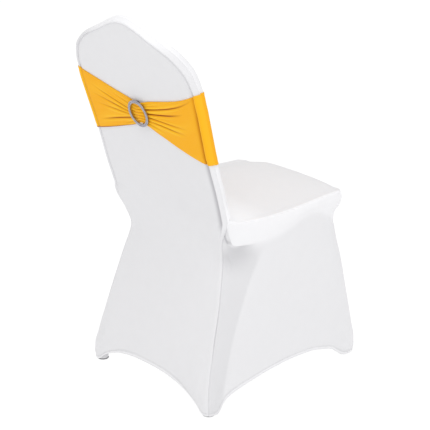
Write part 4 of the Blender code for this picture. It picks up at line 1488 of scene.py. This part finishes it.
# Half sections turned about each foot: radius, height
soleSection = (
    (0.0000, 0.0006),
    (0.0030, 0.0006),
    (0.0034, 0.0000),
    (0.0052, 0.0000),
    (0.0056, 0.0006),
    (0.0076, 0.0006),
    (0.0080, 0.0000),
    (0.0098, 0.0000),
    (0.0102, 0.0006),
    (0.0116, 0.0006),
    (0.0120, 0.0000),
    (0.0131, 0.0001),
    (0.0142, 0.0006),
    (0.0147, 0.0013),
    (0.0144, 0.0017),
    (0.0124, 0.0021),
    (0.0108, 0.0022),
    (0.0000, 0.0022),
)
cupRadius = 0.0145
cupSection = (
    (0.0122, 0.0027),
    (0.0128, 0.0027),
    (0.0134, 0.0044),
    (0.0138, 0.0070),
    (0.0143, 0.0130),
    (0.0146, 0.0200),
    (0.0148, 0.0280),
    (0.0150, 0.0292),
    (0.0150, 0.0345),
    (0.0146, 0.0351),
    (0.0138, 0.0351),
    (0.0134, 0.0345),
    (0.0133, 0.0285),
    (0.0132, 0.0200),
    (0.0128, 0.0120),
    (0.0124, 0.0074),
    (0.0118, 0.0044),
    (0.0114, 0.0030),
)


def turned(name, section, centre, material, gather=0.0):
    # a body turned about an upright axis, with a faint gather if it is cloth
    section = np.asarray(section, float)
    steps = 64
    closed = section[0, 0] > 0
    points = []
    for r, z in section:
        for k in range(steps):
            a = 2 * np.pi * k / steps
            swell = r * (1 + gather * np.cos(11 * a) * rise(z, 0.005, 0.03))
            points.append((centre[0] + swell * np.cos(a), centre[1] + swell * np.sin(a), z))
    count = len(section)
    faces = []
    for i in range(count if closed else count - 1):
        j = (i + 1) % count
        for k in range(steps):
            m = (k + 1) % steps
            faces.append([i * steps + k, i * steps + m, j * steps + m, j * steps + k])
    piece = addMesh(name, points, faces, material)
    if not closed:
        weld = piece.modifiers.new("weld", "WELD")
        weld.merge_threshold = 1e-6
    return piece


def buildFeet(cloth, felt):
    cups = []
    for node in [n for n in sorted(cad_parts) if n.startswith("foot_sole")]:
        tag = "".join(part.capitalize() for part in node.split("_")[2:])
        centre = middleOf(node)[:2]
        sole = turned("footSole" + tag, soleSection, centre, felt)
        settleIn(sole, node)
        cup = turned("footPocket" + tag, cupSection, centre, cloth, 0.006)
        # the foot pockets get a middling tone and some painted shade, as if in the shadow of the hem
        addTone(cup, np.full(len(cup.data.vertices), 0.45))
        addTone(cup, np.full(len(cup.data.vertices), 0.25), "crease")
        spots = np.array([v.co for v in cup.data.vertices])
        angle = np.arctan2(spots[:, 1] - centre[1], spots[:, 0] - centre[0])
        addWeave(cup, np.column_stack([angle * cupRadius, spots[:, 2]]))
        settleIn(cup, node.replace("sole", "pocket"))
        cups.append((cup, node))
    return cups


view = {
    "target": (-0.2913, 0.2692, 0.542),
    "azimuth": 228.656,
    "elevation": 20.525,
    "distance": 3.2428,
    "lens": 124.94,
}
studio = {
    "sky": 0.76,
    "floorGlow": 0.95,
    "floorColour": 0.12,
    "keyFrom": (-0.43, 0.34, 0.84),
    "keyStrength": 0.30,
    "keySize": 2.4,
    "keyDistance": 3.5,
}


def buildStage():
    floorLook = Nodes("paleFloor")
    grain = floorLook.noise(3.0, 2)
    c = studio["floorColour"]
    shade = floorLook.mixColour(grain, (c, c, c, 1), (c * 1.05, c * 1.05, c * 1.05, 1))
    floorLook.link(shade, floorLook.shader.inputs["Base Color"])
    floorLook.set(Roughness=1.0, Emission_Strength=studio["floorGlow"])
    floorLook.shader.inputs["Specular IOR Level"].default_value = 0.0
    floorLook.shader.inputs["Emission Color"].default_value = (1, 1, 1, 1)
    size = 30.0
    corners = [(-size, -size, 0), (size, -size, 0), (size, size, 0), (-size, size, 0)]
    floor = addMesh("floor", corners, [[0, 1, 2, 3]], floorLook.material)
    floor.location.z = cadBox[0][2] - 0.0002
    world = bpy.data.worlds.new("studio")
    world.use_nodes = True
    sky = world.node_tree.nodes["Background"]
    sky.inputs[0].default_value = (1, 1, 1, 1)
    # the paper behind looks as white as the floor, while it lights the cover less
    seen = world.node_tree.nodes.new("ShaderNodeLightPath")
    strength = world.node_tree.nodes.new("ShaderNodeMapRange")
    strength.inputs["To Min"].default_value = studio["sky"]
    strength.inputs["To Max"].default_value = 1.05
    world.node_tree.links.new(seen.outputs["Is Camera Ray"], strength.inputs["Value"])
    world.node_tree.links.new(strength.outputs[0], sky.inputs[1])
    bpy.context.scene.world = world
    lamp = bpy.data.lights.new("softbox", "AREA")
    lamp.shape = "DISK"
    lamp.size = studio["keySize"]
    lamp.energy = studio["keyStrength"] * np.pi**2 * studio["keyDistance"] ** 2
    softbox = bpy.data.objects.new("softbox", lamp)
    way = Vector(studio["keyFrom"]).normalized()
    softbox.location = Vector((0, 0, 0.45)) + way * studio["keyDistance"]
    softbox.rotation_euler = way.to_track_quat("Z", "Y").to_euler()
    bpy.context.scene.collection.objects.link(softbox)


def buildCamera():
    data = bpy.data.cameras.new("camera")
    data.lens = view["lens"]
    data.sensor_width = 36
    data.clip_start = 0.05
    camera = bpy.data.objects.new("camera", data)
    a, e = np.radians(view["azimuth"]), np.radians(view["elevation"])
    back = Vector((np.sin(a) * np.cos(e), -np.cos(a) * np.cos(e), np.sin(e)))
    camera.location = Vector(view["target"]) + back * view["distance"]
    camera.rotation_euler = back.to_track_quat("Z", "Y").to_euler()
    bpy.context.scene.collection.objects.link(camera)
    bpy.context.scene.camera = camera
    bpy.context.scene.view_settings.view_transform = "Standard"


buildCamera()
buildStage()
print("stage and camera set")

clothLook = clothMaterial("coverKnit", whiteKnit)
whiteThread = threadMaterial("whiteThread", threadColours["white"])
panels, hemStitches, seamStitches = buildCover(clothLook, whiteThread)
print("cover sewn")

goldThread = threadMaterial("goldThread", threadColours["gold"])
sashBand, sashStitches = buildSash(sashMaterial(goldKnit), goldThread)
print("sash drawn through")

silver = metalMaterial("platedMetal", ring["plate"], ring["plateRough"])
buildRing(silver, stoneMaterial())
print("ring set")

cups = buildFeet(clothLook, soleMaterial())
print("feet fitted")
